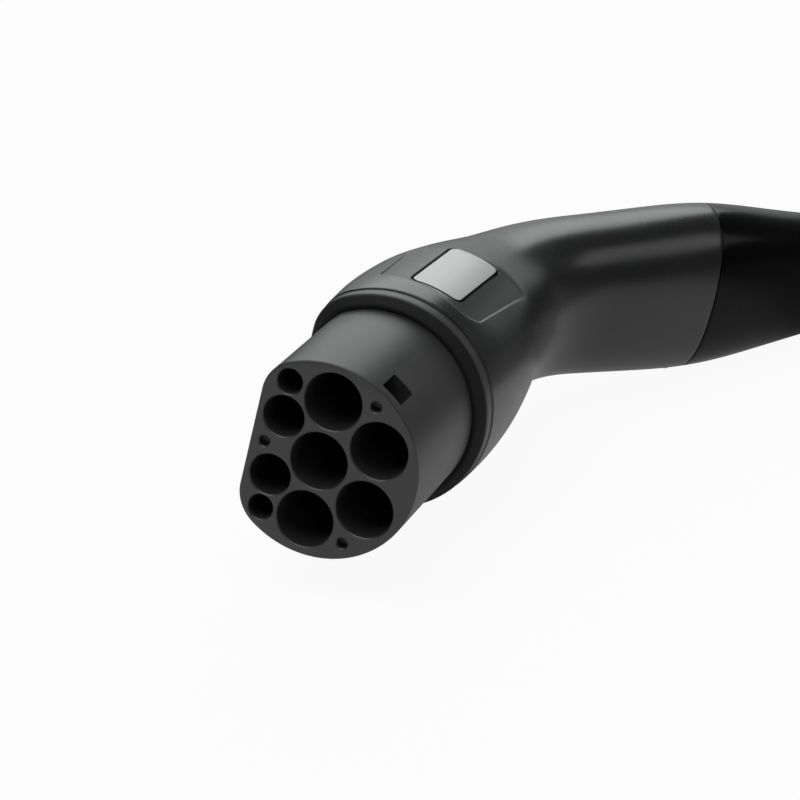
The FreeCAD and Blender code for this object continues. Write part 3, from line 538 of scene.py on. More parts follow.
@dataclass
class ContactBlock:
    """The block moulding, the gasket in front of its flange and the contacts inside it."""

    nose: DShape = DShape(0.0270, 0.0191, 0.0110)
    flange: DShape = DShape(0.0305, 0.0230, 0.0140)
    front_round: float = 0.0005
    flange_front: float = 0.0460
    flange_back: float = 0.0500
    flange_round: float = 0.0005
    ring_groove: tuple[float, float] = (0.0516, 0.0540)
    ring_depth: float = 0.0018
    length: float = 0.0600
    gasket_bevel: float = 0.0019
    gasket_step: float = 0.0003
    gasket_round: float = 0.0002
    gasket_slack: float = 0.00005
    pitch: float = 0.017
    pilot_offset: float = 0.0118
    power_chamber: float = 0.0078
    pilot_chamber: float = 0.00565
    chamber_depth: float = 0.042
    mouth_chamfer: float = 0.00030
    key_hole: float = 0.00345
    key_place: tuple[float, float] = (0.0123, 0.01827)
    key_depth: float = 0.030
    face_hole: float = 0.00148
    face_depth: float = 0.0024
    face_places: tuple[tuple[float, float], ...] = (
        (0.0153, 0.0), (-0.0112, 0.01983), (-0.0112, -0.01983))
    lock_centre: float = 0.00745
    lock_size: tuple[float, float, float] = (0.0090, 0.0070, 0.0048)
    lock_turn: float = math.radians(30.8)
    lock_round: float = 0.0004
    columns: int = 288
    bore_columns: int = 72
    round_steps: int = 5
    pins: tuple[str, ...] = ("pin_earth", "pin_neutral", "pin_line_1", "pin_line_2",
                             "pin_line_3", "pin_proximity", "pin_control")

    def build(self) -> None:
        """Builds the moulding and the gasket and dresses what lies inside."""
        mount_piece(finish_mesh(self.moulding(), "block_moulding"), BLOCK_PLASTIC, "contact_block")
        mount_piece(finish_mesh(self.gasket(), "gasket_ring"), GASKET_RUBBER, "flange_gasket")
        dress_nodes(CONTACT_METAL, *self.pins)
        dress_nodes(SEAL_RUBBER, "contact_seals", "housing_ring_seal")
        dress_nodes(INNER_PLASTIC, "contact_retainer")
        dress_nodes(SCREW_STEEL, "tie_screws")

    def rings(self) -> list[tuple[float, DShape]]:
        """Rings of the moulding, from the front face to the back.

        Returns:
            X and outline of each ring.
        """
        rounding = quarter(self.round_steps)
        made = [(self.front_round * drop, self.nose.grown(-self.front_round * (1 - rise)))
                for rise, drop in rounding]
        made.append((self.flange_front, self.nose))
        for rise, drop in rounding:
            made.append((self.flange_front + self.flange_round * drop,
                         self.flange.grown(-self.flange_round * (1 - rise))))
        made.append((self.flange_back, self.flange))
        made.append((self.flange_back, self.nose))
        groove = self.nose.grown(-self.ring_depth)
        made += [(self.ring_groove[0], self.nose), (self.ring_groove[0], groove),
                 (self.ring_groove[1], groove), (self.ring_groove[1], self.nose),
                 (self.length, self.nose)]
        return made

    def shell(self, rings: list[tuple[float, DShape]], loop_rows: bool) -> bmesh.types.BMesh:
        """Skin over D-shaped rings.

        Args:
            rings: X and outline of each ring.
            loop_rows: Whether the last ring joins the first.

        Returns:
            The bmesh, open at both ends unless the last ring joins the first.
        """

        def place(row: int, column: int) -> Vector:
            """Point of a ring's outline."""
            x, outline = rings[row]
            return outline.point(x, math.tau * column / self.columns)

        return mapped_grid(len(rings), self.columns, place, loop_rows)

    def moulding(self) -> bmesh.types.BMesh:
        """The block with its flange, seal groove, chambers and locking recess.

        Returns:
            The closed bmesh.
        """
        body = self.shell(self.rings(), False)
        rims = [edge for edge in body.edges if edge.is_boundary]
        bmesh.ops.holes_fill(body, edges=rims, sides=0)
        return cut_with(body, self.cutters())

    def cutters(self) -> bmesh.types.BMesh:
        """What is taken out of the block: chambers, corner holes, face holes and the recess.

        Returns:
            All the cutters in one bmesh.
        """
        half = self.pitch / 2
        side = -self.pitch * math.cos(math.radians(30))
        power = [(0.0, 0.0), (0.0, self.pitch), (0.0, -self.pitch), (side, half), (side, -half)]
        pilot = [(self.pilot_offset, half), (self.pilot_offset, -half)]
        keys = [(self.key_place[0], sign * self.key_place[1]) for sign in (1, -1)]
        holes = [(place, self.power_chamber, self.chamber_depth) for place in power]
        holes += [(place, self.pilot_chamber, self.chamber_depth) for place in pilot]
        holes += [(place, self.key_hole, self.key_depth) for place in keys]
        holes += [(place, self.face_hole, self.face_depth) for place in self.face_places]
        solids = [self.bore(place, radius, depth) for place, radius, depth in holes]
        solids.append(self.lock_cutter())
        return joined(solids)

    def bore(self, place: tuple[float, float], radius: float, depth: float) -> bmesh.types.BMesh:
        """A round hole with a chamfered mouth.

        Args:
            place: Y and Z of its axis.
            radius: The hole's radius.
            depth: Its depth from the front face.

        Returns:
            The closed cutter.
        """
        lip = self.mouth_chamfer
        profile = [(-lip, 0.0), (-lip, radius + 2 * lip), (lip, radius), (depth, radius),
                   (depth, 0.0)]
        return turned(profile, place, self.bore_columns)

    def lock_cutter(self) -> bmesh.types.BMesh:
        """The locking recess: a block with rounded edges, let into the side of the nose.

        Returns:
            The closed cutter.
        """
        length, width, depth = self.lock_size
        box = bmesh.new()
        bmesh.ops.create_cube(box, size=1.0)
        bmesh.ops.scale(box, vec=(length, width, depth * 2), verts=box.verts)
        upright = [edge for edge in box.edges
                   if abs((edge.verts[0].co - edge.verts[1].co).z) > depth]
        bmesh.ops.bevel(box, geom=upright, offset=self.lock_round, offset_type="OFFSET",
                        affect="EDGES", segments=3, profile=0.5, material=-1)
        place = Matrix.Rotation(self.lock_turn, 4, "X") @ Matrix.Translation(
            (self.lock_centre, 0.0, self.nose.radius))
        bmesh.ops.transform(box, matrix=place, verts=box.verts)
        return box

    def gasket(self) -> bmesh.types.BMesh:
        """The rubber ring in front of the flange, bevelled along its front edge.

        Returns:
            The closed bmesh.
        """
        low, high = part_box("flange_gasket")
        outer = self.flange.grown(-self.gasket_step)
        inner = self.nose.grown(self.gasket_slack)
        soft, bevel = self.gasket_round, self.gasket_bevel
        rings = [(low.x + soft, inner), (low.x, inner.grown(soft)),
                 (low.x, outer.grown(-bevel - 2 * soft)), (low.x, outer.grown(-bevel - soft)),
                 (low.x + soft / 2, outer.grown(-bevel)),
                 (low.x + soft, outer.grown(-bevel + soft)), (low.x + bevel, outer.grown(-soft)),
                 (low.x + bevel + soft, outer), (high.x, outer), (high.x, inner)]
        return self.shell(rings, True)


# Housing and rear cap: one skin along a bent path, split by a slanted seam


@dataclass(frozen=True)
class Path:
    """Centre line: straight from the housing's mouth, a bend towards -Y, then straight."""

    start: float = 0.050
    straight: float = 0.0515
    radius: float = 0.117
    bend: float = math.radians(33.2)

    def frame(self, place: float) -> tuple[Vector, float]:
        """Point on the line and its turn.

        Args:
            place: Distance from the housing's mouth.

        Returns:
            The point and the turn in radians.
        """
        turn = min(max((place - self.straight) / self.radius, 0.0), self.bend)
        before = min(place, self.straight)
        after = max(place - self.straight - self.radius * self.bend, 0.0)
        return Vector((
            self.start + before + self.radius * math.sin(turn) + after * math.cos(turn),
            -self.radius * (1 - math.cos(turn)) - after * math.sin(turn), 0.0)), turn

    def point(self, place: float, across: float, up: float) -> Vector:
        """Point beside the line: across it and above it."""
        base, turn = self.frame(place)
        return base + Vector((across * math.sin(turn), across * math.cos(turn), up))


class Curve:
    """Smooth curve through (place, value) knots, with no bend at its ends."""

    def __init__(self, places: list[float], values: list[float]) -> None:
        """Works out the bend at each knot.

        Args:
            places: The knots' places, rising.
            values: The values there.
        """
        self.places, self.values = places, values
        count = len(places)
        steps = np.diff(places)
        slopes = np.diff(values) / steps
        system, known = np.eye(count), np.zeros(count)
        for knot in range(1, count - 1):
            before, after = steps[knot - 1], steps[knot]
            system[knot, knot - 1: knot + 2] = before, 2 * (before + after), after
            known[knot] = 6 * (slopes[knot] - slopes[knot - 1])
        self.bends = np.linalg.solve(system, known)

    def at(self, place: float) -> float:
        """Value of the curve.

        Args:
            place: Where it is read.

        Returns:
            The value there.
        """
        knot = int(np.searchsorted(self.places, place)) - 1
        knot = min(max(knot, 0), len(self.places) - 2)
        step = self.places[knot + 1] - self.places[knot]
        right = (place - self.places[knot]) / step
        left = 1 - right
        bend = ((left ** 3 - left) * self.bends[knot]
                + (right ** 3 - right) * self.bends[knot + 1]) * step ** 2 / 6
        return float(left * self.values[knot] + right * self.values[knot + 1] + bend)


@dataclass(frozen=True)
class Section:
    """Cross-section: reach to the flat side and away from it, half height, share of oval."""

    place: float
    flat_side: float
    round_side: float
    half_height: float
    oval: float = 1.0


SECTIONS = (
    Section(0.000, 0.0232, 0.0308, 0.0309, 0.0),
    Section(0.010, 0.0236, 0.0312, 0.0312, 0.0),
    Section(0.025, 0.0239, 0.0309, 0.0303, 0.1),
    Section(0.040, 0.0230, 0.0294, 0.0296, 0.35),
    Section(0.058, 0.0199, 0.0267, 0.0273, 0.7),
    Section(0.076, 0.0184, 0.0232, 0.0246),
    Section(0.096, 0.0194, 0.0204, 0.0237),
    Section(0.118, 0.0197, 0.0201, 0.0242),
    Section(0.143, 0.0191, 0.0204, 0.0255),
    Section(0.172, 0.0185, 0.0196, 0.0260),
    Section(0.202, 0.0159, 0.0170, 0.0226),
    Section(0.224, 0.0136, 0.0144, 0.0198),
    Section(0.238, 0.0124, 0.0131, 0.0180),
)


@dataclass
class Skin:
    """Surface of the housing and the cap, with the seam plane that parts them."""

    path: Path = Path()
    mouth: DShape = DShape(0.0305, 0.0230, 0.0140)
    oval_power: float = 2.3
    round_start: float = 0.224
    end: float = 0.238
    end_radius: float = 0.0132
    seam_place: float = 0.1706
    seam_turn: float = math.radians(25.3)
    seam_rounds: int = 8
    curves: dict[str, Curve] = field(init=False)
    seam_point: Vector = field(init=False)
    seam_normal: Vector = field(init=False)

    def __post_init__(self) -> None:
        """Lays a curve through each measure of the sections and sets the seam plane."""
        places = [section.place for section in SECTIONS]
        self.curves = {name: Curve(places, [getattr(section, name) for section in SECTIONS])
                       for name in ("flat_side", "round_side", "half_height", "oval")}
        self.seam_point, turn = self.path.frame(self.seam_place)
        lean = turn + self.seam_turn
        self.seam_normal = Vector((math.cos(lean), -math.sin(lean), 0.0))

    def measure(self, name: str, place: float) -> float:
        """One measure of the section, rounded over towards the end.

        Args:
            name: The measure.
            place: Distance along the path.

        Returns:
            The measure there.
        """
        value = self.curves[name].at(place)
        if place > self.round_start:
            share = min((place - self.round_start) / (self.end - self.round_start), 1.0)
            drop = 1 - math.sqrt(max(1 - share ** 2, 0.0))
            value += (self.end_radius - self.curves[name].at(self.end)) * drop
        return value

    def point(self, place: float, angle: float, inset: float) -> Vector:
        """Point of the skin.

        Args:
            place: Distance along the path.
            angle: Angle round the section, from the flat side upwards.
            inset: How far inside the outer skin.

        Returns:
            The point in the plug's own axes.
        """
        cosine, sine = math.cos(angle), math.sin(angle)
        share = min(max(self.curves["oval"].at(place), 0.0), 1.0)
        across = self.measure("flat_side" if cosine > 0 else "round_side", place) - inset
        up = self.measure("half_height", place) - inset
        d_reach = self.mouth.reach(angle) / self.mouth.radius
        d_across = across * self.mouth.radius / self.mouth.flat if cosine > 0 else across
        oval = (abs(cosine) ** self.oval_power + abs(sine) ** self.oval_power) ** (
            -1 / self.oval_power)
        return self.path.point(
            place,
            cosine * ((1 - share) * d_reach * d_across + share * oval * across),
            sine * up * ((1 - share) * d_reach + share * oval))

    def seam_at(self, angle: float, inset: float, offset: float) -> float:
        """Place along the path where the skin meets a plane parallel to the seam.

        Args:
            angle: Angle round the section.
            inset: How far inside the outer skin.
            offset: Distance of the plane behind the seam.

        Returns:
            The distance along the path.
        """
        place = self.seam_place
        for _ in range(self.seam_rounds):
            miss = (self.point(place, angle, inset) - self.seam_point).dot(self.seam_normal)
            place -= (miss - offset) / math.cos(self.seam_turn)
        return place


@dataclass(frozen=True)
class Ring:
    """Ring of a shell: square to the path at a place, or a share of the way to the seam."""

    place: float
    inset: float
    seam: float = 0.0
    offset: float = 0.0
    radius: float = 0.0

    def point(self, skin: Skin, angle: float) -> Vector:
        """Point of the ring.

        Args:
            skin: The skin that the ring follows.
            angle: Angle round the section.

        Returns:
            The point in the plug's own axes.
        """
        place = self.place
        if self.seam:
            place += self.seam * (skin.seam_at(angle, self.inset, self.offset) - self.place)
        if self.radius:
            return skin.path.point(place, self.radius * math.cos(angle),
                                   self.radius * math.sin(angle))
        return skin.point(place, angle, self.inset)


def steps_between(start: float, end: float, step: float) -> list[float]:
    """Evenly spaced values from start up to, but not at, end."""
    count = max(round(abs(end - start) / step), 1)
    return [start + (end - start) * index / count for index in range(count)]


@dataclass(frozen=True)
class Corner:
    """Corner of the dish: its place and rounding, and the slope of the side that starts there."""

    x: float
    y: float
    radius: float = 0.0
    wall: float = 0.0011


@dataclass
class Recess:
    """Shallow dish in the head round the nameplate, level with the plate's face."""

    corners: tuple[Corner, ...] = (
        Corner(0.0536, -0.0180, 0.0070), Corner(0.1000, -0.0204),
        Corner(0.1000, 0.0140, wall=0.0004), Corner(0.0618, 0.0128))

    def inward(self, index: int) -> tuple[Vector, float]:
        """Line of the side that starts at a corner.

        Args:
            index: The corner.

        Returns:
            The side's inward normal, and its distance from the origin.
        """
        start = self.corners[index]
        end = self.corners[(index + 1) % len(self.corners)]
        normal = Vector((start.y - end.y, end.x - start.x)).normalized()
        return normal, normal.dot(Vector((start.x, start.y)))

    def share_in(self, point: Vector) -> float:
        """How far a point is down the slope of the nearest side.

        Args:
            point: Point of the skin.

        Returns:
            The share, from 0 outside the dish to 1 on its floor.
        """
        place = point.xy
        sides = [self.inward(index) for index in range(len(self.corners))]
        share = min((normal.dot(place) - base) / corner.wall
                    for (normal, base), corner in zip(sides, self.corners))
        for index, corner in enumerate(self.corners):
            if not corner.radius:
                continue
            (first, base_1), (second, base_2) = sides[index - 1], sides[index]
            lean = first.dot(second)
            gap_1 = base_1 + corner.radius - first.dot(place)
            gap_2 = base_2 + corner.radius - second.dot(place)
            share_1, share_2 = gap_1 - lean * gap_2, gap_2 - lean * gap_1
            if share_1 > 0 and share_2 > 0:
                reach = math.sqrt((gap_1 * share_1 + gap_2 * share_2) / (1 - lean ** 2))
                share = (corner.radius - reach) / corner.wall
        return min(max(share, 0.0), 1.0)

    def pressed(self, point: Vector, floor: float) -> Vector:
        """The point, pressed down to the dish where it lies in it.

        Args:
            point: Point of the skin.
            floor: Radius of the dish's floor at its X.

        Returns:
            The point, lowered along Z.
        """
        level = floor ** 2 - point.y ** 2
        if point.z <= 0 or level <= 0:
            return point
        share = self.share_in(point)
        drop = max(point.z - math.sqrt(level), 0.0) * share * share * (3 - 2 * share)
        return point - Vector((0.0, 0.0, drop))


@dataclass
class Nameplate:
    """Bare curved plate with a black edge and the pocket that holds it."""

    centre: tuple[float, float] = (0.0791, -0.0036)
    length: float = 0.0362
    width: float = 0.0142
    corner: float = 0.0022
    thick: float = 0.0010
    turn: float = math.radians(-0.4)
    radius: float = 0.02995
    taper: float = 0.05
    gap: float = 0.00070
    edge: float = 0.00012
    edge_tilt: float = 0.6
    pocket_flare: float = 0.00025
    columns: int = 176
    face_rings: int = 12
    back_rings: int = 4
    pocket_rings: int = 6

    def outline(self, angle: float, grow: float) -> tuple[float, float]:
        """Point of the plate's rounded outline about its centre.

        Args:
            angle: Direction from the centre.
            grow: How much larger the outline is all round.

        Returns:
            Its x and y, before the plate is turned.
        """
        half_x, half_y = self.length / 2 + grow, self.width / 2 + grow
        corner = self.corner + grow
        cosine, sine = abs(math.cos(angle)), abs(math.sin(angle))
        reach = min(half_x / max(cosine, NEAR_ZERO), half_y / max(sine, NEAR_ZERO))
        x, y = half_x - corner, half_y - corner
        if reach * cosine > x and reach * sine > y:
            along = x * cosine + y * sine
            reach = along + math.sqrt(along ** 2 - x ** 2 - y ** 2 + corner ** 2)
        return reach * math.cos(angle), reach * math.sin(angle)

    def point(self, x: float, y: float, drop: float) -> Vector:
        """Point on the plate's curved face, or below it.

        Args:
            x: Place along the plate from its centre.
            y: Place across it.
            drop: Depth below the face.

        Returns:
            The point in the plug's own axes.
        """
        cosine, sine = math.cos(self.turn), math.sin(self.turn)
        place_x = self.centre[0] + x * cosine - y * sine
        place_y = self.centre[1] + x * sine + y * cosine
        radius = self.level(place_x) - drop
        return Vector((place_x, place_y, math.sqrt(radius ** 2 - place_y ** 2)))

    def level(self, x: float) -> float:
        """Radius of the plate's face about the plug axis at an X."""
        return self.radius - self.taper * (x - self.centre[0])

    def shell(self, rings: list[tuple[float, float, float]]) -> bmesh.types.BMesh:
        """Closed solid over the outline, from its top centre down to its bottom centre.

        Args:
            rings: (share of the outline, growth, drop) of each ring.

        Returns:
            The closed bmesh.
        """

        def place(row: int, column: int) -> Vector:
            """Point of a ring round the plate.

            Args:
                row: The ring.
                column: The point's number on it.

            Returns:
                The point in the plug's own axes.
            """
            share, grow, drop = rings[row]
            x, y = self.outline(math.tau * column / self.columns, grow)
            return self.point(x * share, y * share, drop)

        return mapped_grid(len(rings), self.columns, place, False)

    def plate(self) -> bmesh.types.BMesh:
        """The plate with a rounded edge.

        Returns:
            The closed bmesh.
        """
        face, back = self.face_rings, self.back_rings
        top = [(index / face, -self.edge, 0.0) for index in range(face)]
        rim = [(1.0, -self.edge * (1 - rise), self.edge * drop)
               for rise, drop in quarter(ROUND_STEPS)]
        bottom = [(1 - index / back, 0.0, self.thick) for index in range(back + 1)]
        return self.shell(top + rim + bottom)

    def pocket(self) -> bmesh.types.BMesh:
        """The cutter for the plate's pocket, flared at its mouth.

        Returns:
            The closed bmesh.
        """
        flare, count = self.pocket_flare, self.pocket_rings
        top = [(index / count, self.gap + 4 * flare, -3 * flare) for index in range(count + 1)]
        side = [(1.0, self.gap, flare), (1.0, self.gap, self.thick)]
        bottom = [(1 - index / count, self.gap, self.thick) for index in range(1, count + 1)]
        return self.shell(top + side + bottom)

    def build(self) -> None:
        """Builds the plate, with the black finish on the faces that lean past the edge tilt."""
        piece = finish_mesh(self.plate(), "plate_face")
        for face in piece.data.polygons:
            face.material_index = int(face.normal.z < self.edge_tilt)
        mount_piece(piece, PLATE_METAL, "nameplate")
        piece.data.materials.append(GASKET_RUBBER.material())


@dataclass
class Housing:
    """Head and grip: one hollow moulding with the dish and pocket for the nameplate.

    The spans give the start, end and step of its rings in metres and of the points round it in
    degrees, which lie close together at the dish's walls.
    """

    skin: Skin
    plate: Nameplate
    recess: Recess = field(default_factory=Recess)
    wall: float = 0.0030
    mouth_wall: float = 0.0034
    mouth_depth: float = 0.0140
    mouth_round: float = 0.0004
    seam_round: float = 0.0005
    turn_start: float = 0.1000
    ring_spans: tuple[tuple[float, float, float], ...] = (
        (0.0012, 0.0030, 0.0008), (0.0030, 0.0140, 0.00026), (0.0140, 0.0460, 0.0007),
        (0.0460, 0.1000, 0.0012))
    inner_step: float = 0.005
    grip_rings: int = 56
    inner_rings: int = 14
    angle_spans: tuple[tuple[float, float, float], ...] = (
        (0.0, 56.0, 2.5), (56.0, 59.0, 1.0), (59.0, 70.0, 0.32), (70.0, 74.0, 0.6),
        (74.0, 114.0, 1.0), (114.0, 119.0, 0.6), (119.0, 133.0, 0.32), (133.0, 136.0, 1.0),
        (136.0, 360.0, 2.5))

    def rings(self) -> list[Ring]:
        """Rings of the shell: outside to the seam, through it and back inside.

        Returns:
            The rings in order.
        """
        rounding = quarter(ROUND_STEPS)
        made = [Ring(self.mouth_round * drop, self.mouth_round * (1 - rise))
                for rise, drop in rounding]
        made += [Ring(place, 0.0) for span in self.ring_spans for place in steps_between(*span)]
        shares = steps_between(0.0, 1.0, 1 / self.grip_rings)
        made += [Ring(self.turn_start, 0.0, share, -self.seam_round) for share in shares]
        made += [Ring(self.turn_start, self.seam_round * drop, 1.0, -self.seam_round * (1 - rise))
                 for rise, drop in rounding]
        made.append(Ring(self.turn_start, self.wall, 1.0, 0.0))
        inner = steps_between(1.0, 0.0, 1 / self.inner_rings)
        made += [Ring(self.turn_start, self.wall, share, 0.0) for share in inner[1:]]
        made += [Ring(place, self.wall)
                 for place in steps_between(self.turn_start, self.mouth_depth, self.inner_step)]
        made += [Ring(self.mouth_depth, self.wall), Ring(self.mouth_depth, self.mouth_wall),
                 Ring(0.0, self.mouth_wall)]
        return made

    def build(self) -> None:
        """Builds the housing."""
        rings = self.rings()
        angles = [math.radians(angle)
                  for span in self.angle_spans for angle in steps_between(*span)]

        def place(row: int, column: int) -> Vector:
            """Point of the shell, pressed down where it lies in the dish.

            Args:
                row: The ring.
                column: The point's number on it.

            Returns:
                The point in the plug's own axes.
            """
            ring = rings[row]
            point = ring.point(self.skin, angles[column])
            if ring.inset < self.wall / 2:
                return self.recess.pressed(point, self.plate.level(point.x))
            return point

        shell = mapped_grid(len(rings), len(angles), place, True)
        shell = cut_with(shell, self.plate.pocket())
        mount_piece(finish_mesh(shell, "housing_shell"), HOUSING_PLASTIC, "housing")
        dress_nodes(SCREW_STEEL, "housing_screws")


@dataclass
class RearCap:
    """Cap behind the seam with its spigot, the seals, the cable clamp and its screws."""

    skin: Skin
    wall: float = 0.0030
    seam_round: float = 0.0005
    spigot_length: float = 0.0100
    spigot_slack: float = 0.0002
    spigot_wall: float = 0.0024
    groove: tuple[float, float] = (-0.0022, -0.0040)
    groove_depth: float = 0.0013
    cavity_end: float = 0.2200
    cavity_step: float = 0.0020
    lip_bore: float = 0.0090
    lip_length: float = 0.0020
    seal_length: float = 0.0120
    seal_radius: float = 0.0106
    seal_slack: float = 0.00005
    seal_chamfer: float = 0.0005
    seal_lips: tuple[float, float] = (0.0085, 0.0035)
    seal_lip_rise: float = 0.0006
    seal_lip_half: float = 0.0010
    cable_radius: float = 0.0080
    columns: int = 192
    seal_columns: int = 96
    outer_rings: int = 44
    end_rings: int = 16
    inner_rings: int = 10

    def rings(self) -> list[Ring]:
        """Rings of the shell: outside from the seam, round the inlet and back inside.

        Returns:
            The rings in order.
        """
        skin, rounding = self.skin, quarter(ROUND_STEPS)
        start = skin.round_start
        made = [Ring(start, self.seam_round * (1 - rise), 1.0, self.seam_round * drop)
                for rise, drop in rounding]
        made += [Ring(start, 0.0, share, self.seam_round)
                 for share in steps_between(1.0, 0.0, 1 / self.outer_rings)[1:]]
        made += [Ring(start + (skin.end - start) * rise, 0.0)
                 for rise, _ in quarter(self.end_rings)]
        lip, seat = self.lip_bore, self.seal_radius + self.seal_slack
        made += [Ring(skin.end - self.seam_round * drop, 0.0,
                      radius=lip + self.seam_round * (1 - rise)) for rise, drop in rounding]
        front = skin.end - self.lip_length
        back = front - self.seal_length
        made += [Ring(front, 0.0, radius=lip), Ring(front, 0.0, radius=seat),
                 Ring(back, 0.0, radius=seat), Ring(back, 0.0, radius=lip),
                 Ring(self.cavity_end, 0.0, radius=lip), Ring(self.cavity_end, self.wall)]
        made += [Ring(self.cavity_end, self.wall, share, self.cavity_step)
                 for share in steps_between(0.0, 1.0, 1 / self.inner_rings)[1:]]
        spigot_outer = self.wall + self.spigot_slack
        spigot_inner = spigot_outer + self.spigot_wall
        floor = self.wall + self.groove_depth
        corners = ((self.wall, self.cavity_step), (spigot_inner, self.cavity_step),
                   (spigot_inner, -self.spigot_length), (spigot_outer, -self.spigot_length),
                   (spigot_outer, self.groove[1]), (floor, self.groove[1]),
                   (floor, self.groove[0]), (spigot_outer, self.groove[0]), (spigot_outer, 0.0))
        return made + [Ring(self.cavity_end, inset, 1.0, offset) for inset, offset in corners]

    def build(self) -> None:
        """Builds the cap and the cable seal and dresses what lies inside."""
        rings = self.rings()
        angles = [math.tau * column / self.columns for column in range(self.columns)]
        shell = mapped_grid(len(rings), self.columns,
                            lambda row, column: rings[row].point(self.skin, angles[column]), True)
        mount_piece(finish_mesh(shell, "cap_shell"), CAP_PLASTIC, "rear_cap")
        mount_piece(finish_mesh(self.seal(), "cable_grommet"), SEAL_RUBBER, "cable_seal")
        dress_nodes(SEAL_RUBBER, "cap_seal")
        dress_nodes(INNER_PLASTIC, "cable_clamp_lower", "cable_clamp_upper")
        dress_nodes(SCREW_STEEL, "clamp_screws", "cap_screws")
        dress_nodes(RESISTOR_LACQUER, "coding_resistor")

    def seal(self) -> bmesh.types.BMesh:
        """The rubber seal round the cable's bore, with chamfered mouths and two inner lips.

        Returns:
            The closed bmesh.
        """
        back = self.skin.end - self.lip_length - self.seal_length
        outer, bore, length = self.seal_radius, self.cable_radius, self.seal_length
        chamfer, half = self.seal_chamfer, self.seal_lip_half
        profile = [(0.0, bore + chamfer), (0.0, outer - chamfer), (chamfer, outer),
                   (length - chamfer, outer), (length, outer - chamfer),
                   (length, bore + chamfer), (length - chamfer, bore)]
        for middle in self.seal_lips:
            profile += [(middle + half, bore), (middle, bore + self.seal_lip_rise),
                        (middle - half, bore)]
        profile.append((chamfer, bore))
        rings = [Ring(back + x, 0.0, radius=radius) for x, radius in profile]
        angles = [math.tau * column / self.seal_columns for column in range(self.seal_columns)]
        return mapped_grid(len(rings), self.seal_columns,
                           lambda row, column: rings[row].point(self.skin, angles[column]), True)


# Studio


@dataclass(frozen=True)
class Softbox:
    """Soft area lamp that faces a point of the plug."""

    name: str
    place: tuple[float, float, float]
    target: tuple[float, float, float]
    size: tuple[float, float]
    energy: float
    tint: tuple[float, float, float] = (1.0, 1.0, 1.0)

    def build(self) -> None:
        """Hangs the lamp."""
        lamp = bpy.data.lights.new(self.name, "AREA")
        lamp.shape = "RECTANGLE"
        lamp.size, lamp.size_y = self.size
        lamp.energy = self.energy
        lamp.color = self.tint
        stand = bpy.data.objects.new(self.name, lamp)
        stand.location = self.place
        aim = Vector(self.target) - Vector(self.place)
        stand.rotation_euler = aim.to_track_quat("-Z", "Y").to_euler()
        bpy.context.scene.collection.objects.link(stand)


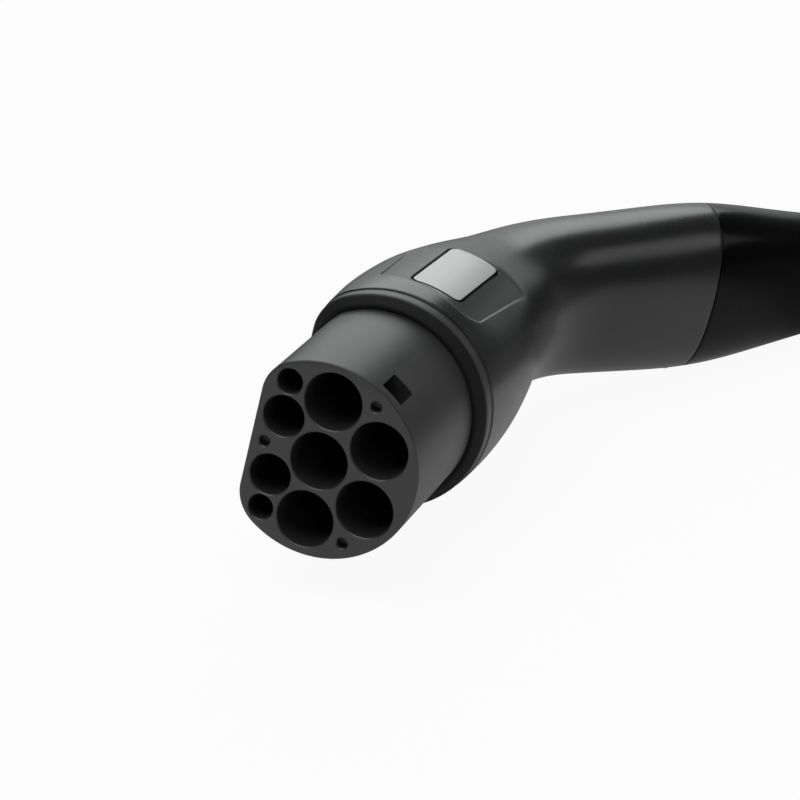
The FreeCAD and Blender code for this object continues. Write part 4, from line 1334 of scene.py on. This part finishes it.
@dataclass
class Studio:
    """Pale floor, soft lamps, world and camera."""

    floor_size: float = 3.0
    floor_middle: float = 0.1
    floor_white: float = 0.9
    paper_roughness: float = 0.9
    paper_specular: float = 0.1
    world_grey: float = 0.10
    camera_glow: float = 0.94
    # Painted reflection: the floor glows to glossy rays with these shares near and far, and its
    # glow turns grey past the span behind the plug.
    near_reflection_glow: float = 0.32
    far_reflection_glow: float = 0.80
    far_reflection_grey: float = 0.12
    reflection_dim_span: tuple[float, float] = (0.19, 0.25)
    eye: tuple[float, float, float] = (-0.6314, -0.24591, 0.2658)
    right: tuple[float, float, float] = (0.33267, -0.94303, -0.00405)
    upward: tuple[float, float, float] = (0.32699, 0.11132, 0.93845)
    back: tuple[float, float, float] = (-0.88454, -0.31352, 0.34539)
    lens: float = 128.475
    sensor: float = 36.0
    lamps: tuple[Softbox, ...] = (
        Softbox("overhead", (-0.35, 0.15, 1.3), (0.1, 0.0, 0.0), (1.3, 1.0), 10.5),
        Softbox("backdrop", (1.36, 0.38, 0.88), (0.08, 0.0, 0.0), (1.1, 0.9), 7.0,
                (0.93, 1.0, 0.965)),
        Softbox("sweep", (1.87, 0.33, 0.24), (0.08, 0.0, 0.0), (2.2, 0.52), 1.8,
                (0.93, 1.0, 0.98)),
        Softbox("right", (0.70, -1.08, 0.71), (0.16, -0.03, 0.0), (0.45, 0.52), 1.0),
    )

    def build(self) -> None:
        """Sets up the whole studio."""
        self.floor()
        self.world()
        self.camera()
        for lamp in self.lamps:
            lamp.build()
        bpy.context.scene.view_settings.view_transform = "Standard"

    def floor(self) -> None:
        """Lays the floor under the plug."""
        low, _ = CAD_BOX
        sheet = bmesh.new()
        bmesh.ops.create_grid(sheet, x_segments=4, y_segments=4, size=self.floor_size)
        bmesh.ops.translate(sheet, verts=sheet.verts, vec=(self.floor_middle, 0.0, low.z))
        ground = finish_mesh(sheet, "floor")
        ground.data.materials.append(self.paper())
        ground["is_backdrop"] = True

    def paper(self) -> bpy.types.Material:
        """White paper that glows to the camera, and glows to glossy rays as a painted reflection:
        more glow behind the plug, with its colour turning from white to grey there.

        Returns:
            The floor's material.
        """
        material = bpy.data.materials.new("floor_paper")
        material.use_nodes = True
        tree = material.node_tree
        paper = tree.nodes["Principled BSDF"]
        paper.inputs["Base Color"].default_value = (*([self.floor_white] * 3), 1.0)
        paper.inputs["Roughness"].default_value = self.paper_roughness
        paper.inputs["Specular IOR Level"].default_value = self.paper_specular
        place = add_node(tree, "ShaderNodeTexCoord")
        axes = add_node(tree, "ShaderNodeSeparateXYZ")
        rays = add_node(tree, "ShaderNodeLightPath")
        seen = add_node(tree, "ShaderNodeMath", operation="MULTIPLY")
        seen.inputs[1].default_value = self.camera_glow
        share = add_node(tree, "ShaderNodeMath", operation="MULTIPLY_ADD")
        # Painted reflection: glossy rays see the floor partly as glow, with more of it and greyer
        # behind the plug.
        reflection_glow_share = self.reflection_fade(tree, axes, self.near_reflection_glow, self.far_reflection_glow)
        reflection_glow_tone = self.reflection_fade(tree, axes, 1.0, self.far_reflection_grey)
        grey = add_node(tree, "ShaderNodeMath", operation="MAXIMUM")
        glow = add_node(tree, "ShaderNodeEmission")
        mix = add_node(tree, "ShaderNodeMixShader")
        for start, end in (
                (place.outputs["Object"], axes.inputs["Vector"]),
                (rays.outputs["Is Camera Ray"], seen.inputs[0]),
                (rays.outputs["Is Glossy Ray"], share.inputs[0]),
                (reflection_glow_share.outputs["Result"], share.inputs[1]),
                (seen.outputs["Value"], share.inputs[2]),
                (rays.outputs["Is Camera Ray"], grey.inputs[0]),
                (reflection_glow_tone.outputs["Result"], grey.inputs[1]),
                (grey.outputs["Value"], glow.inputs["Color"]),
                (share.outputs["Value"], mix.inputs["Fac"]),
                (paper.outputs["BSDF"], mix.inputs[1]),
                (glow.outputs["Emission"], mix.inputs[2]),
                (mix.outputs["Shader"], tree.nodes["Material Output"].inputs["Surface"])):
            tree.links.new(start, end)
        return material

    def reflection_fade(self, tree: bpy.types.NodeTree, axes: bpy.types.Node, here: float,
             beyond: float) -> bpy.types.Node:
        """Value that changes where the white paper ends behind the plug.

        Args:
            tree: The floor's node tree.
            axes: Node that gives the floor's X.
            here: Value in front of the change.
            beyond: Value past it.

        Returns:
            The node that gives the value.
        """
        ramp = add_node(tree, "ShaderNodeMapRange", interpolation_type="SMOOTHSTEP")
        for label, value in (("From Min", self.reflection_dim_span[0]), ("From Max", self.reflection_dim_span[1]),
                             ("To Min", here), ("To Max", beyond)):
            ramp.inputs[label].default_value = value
        tree.links.new(axes.outputs["X"], ramp.inputs["Value"])
        return ramp

    def world(self) -> None:
        """Lights the room evenly."""
        world = bpy.data.worlds.new("room")
        world.use_nodes = True
        shade = world.node_tree.nodes["Background"]
        shade.inputs["Color"].default_value = (*([self.world_grey] * 3), 1.0)
        bpy.context.scene.world = world

    def camera(self) -> None:
        """Stands the camera where the photograph was taken from."""
        lens = bpy.data.cameras.new("camera")
        lens.lens = self.lens
        lens.sensor_width = self.sensor
        lens.clip_start, lens.clip_end = 0.01, 20.0
        camera = bpy.data.objects.new("camera", lens)
        turn = Matrix((self.right, self.upward, self.back)).transposed()
        camera.matrix_world = Matrix.Translation(self.eye) @ turn.to_4x4()
        bpy.context.scene.collection.objects.link(camera)
        bpy.context.scene.camera = camera


def main() -> None:
    """Builds and dresses the plug and sets up the studio."""
    logging.basicConfig(level=logging.INFO, format="%(name)s: %(message)s")
    skin = Skin()
    plate = Nameplate()
    ContactBlock().build()
    Housing(skin, plate).build()
    plate.build()
    RearCap(skin).build()
    Studio().build()


if __name__ == "__main__":
    main()
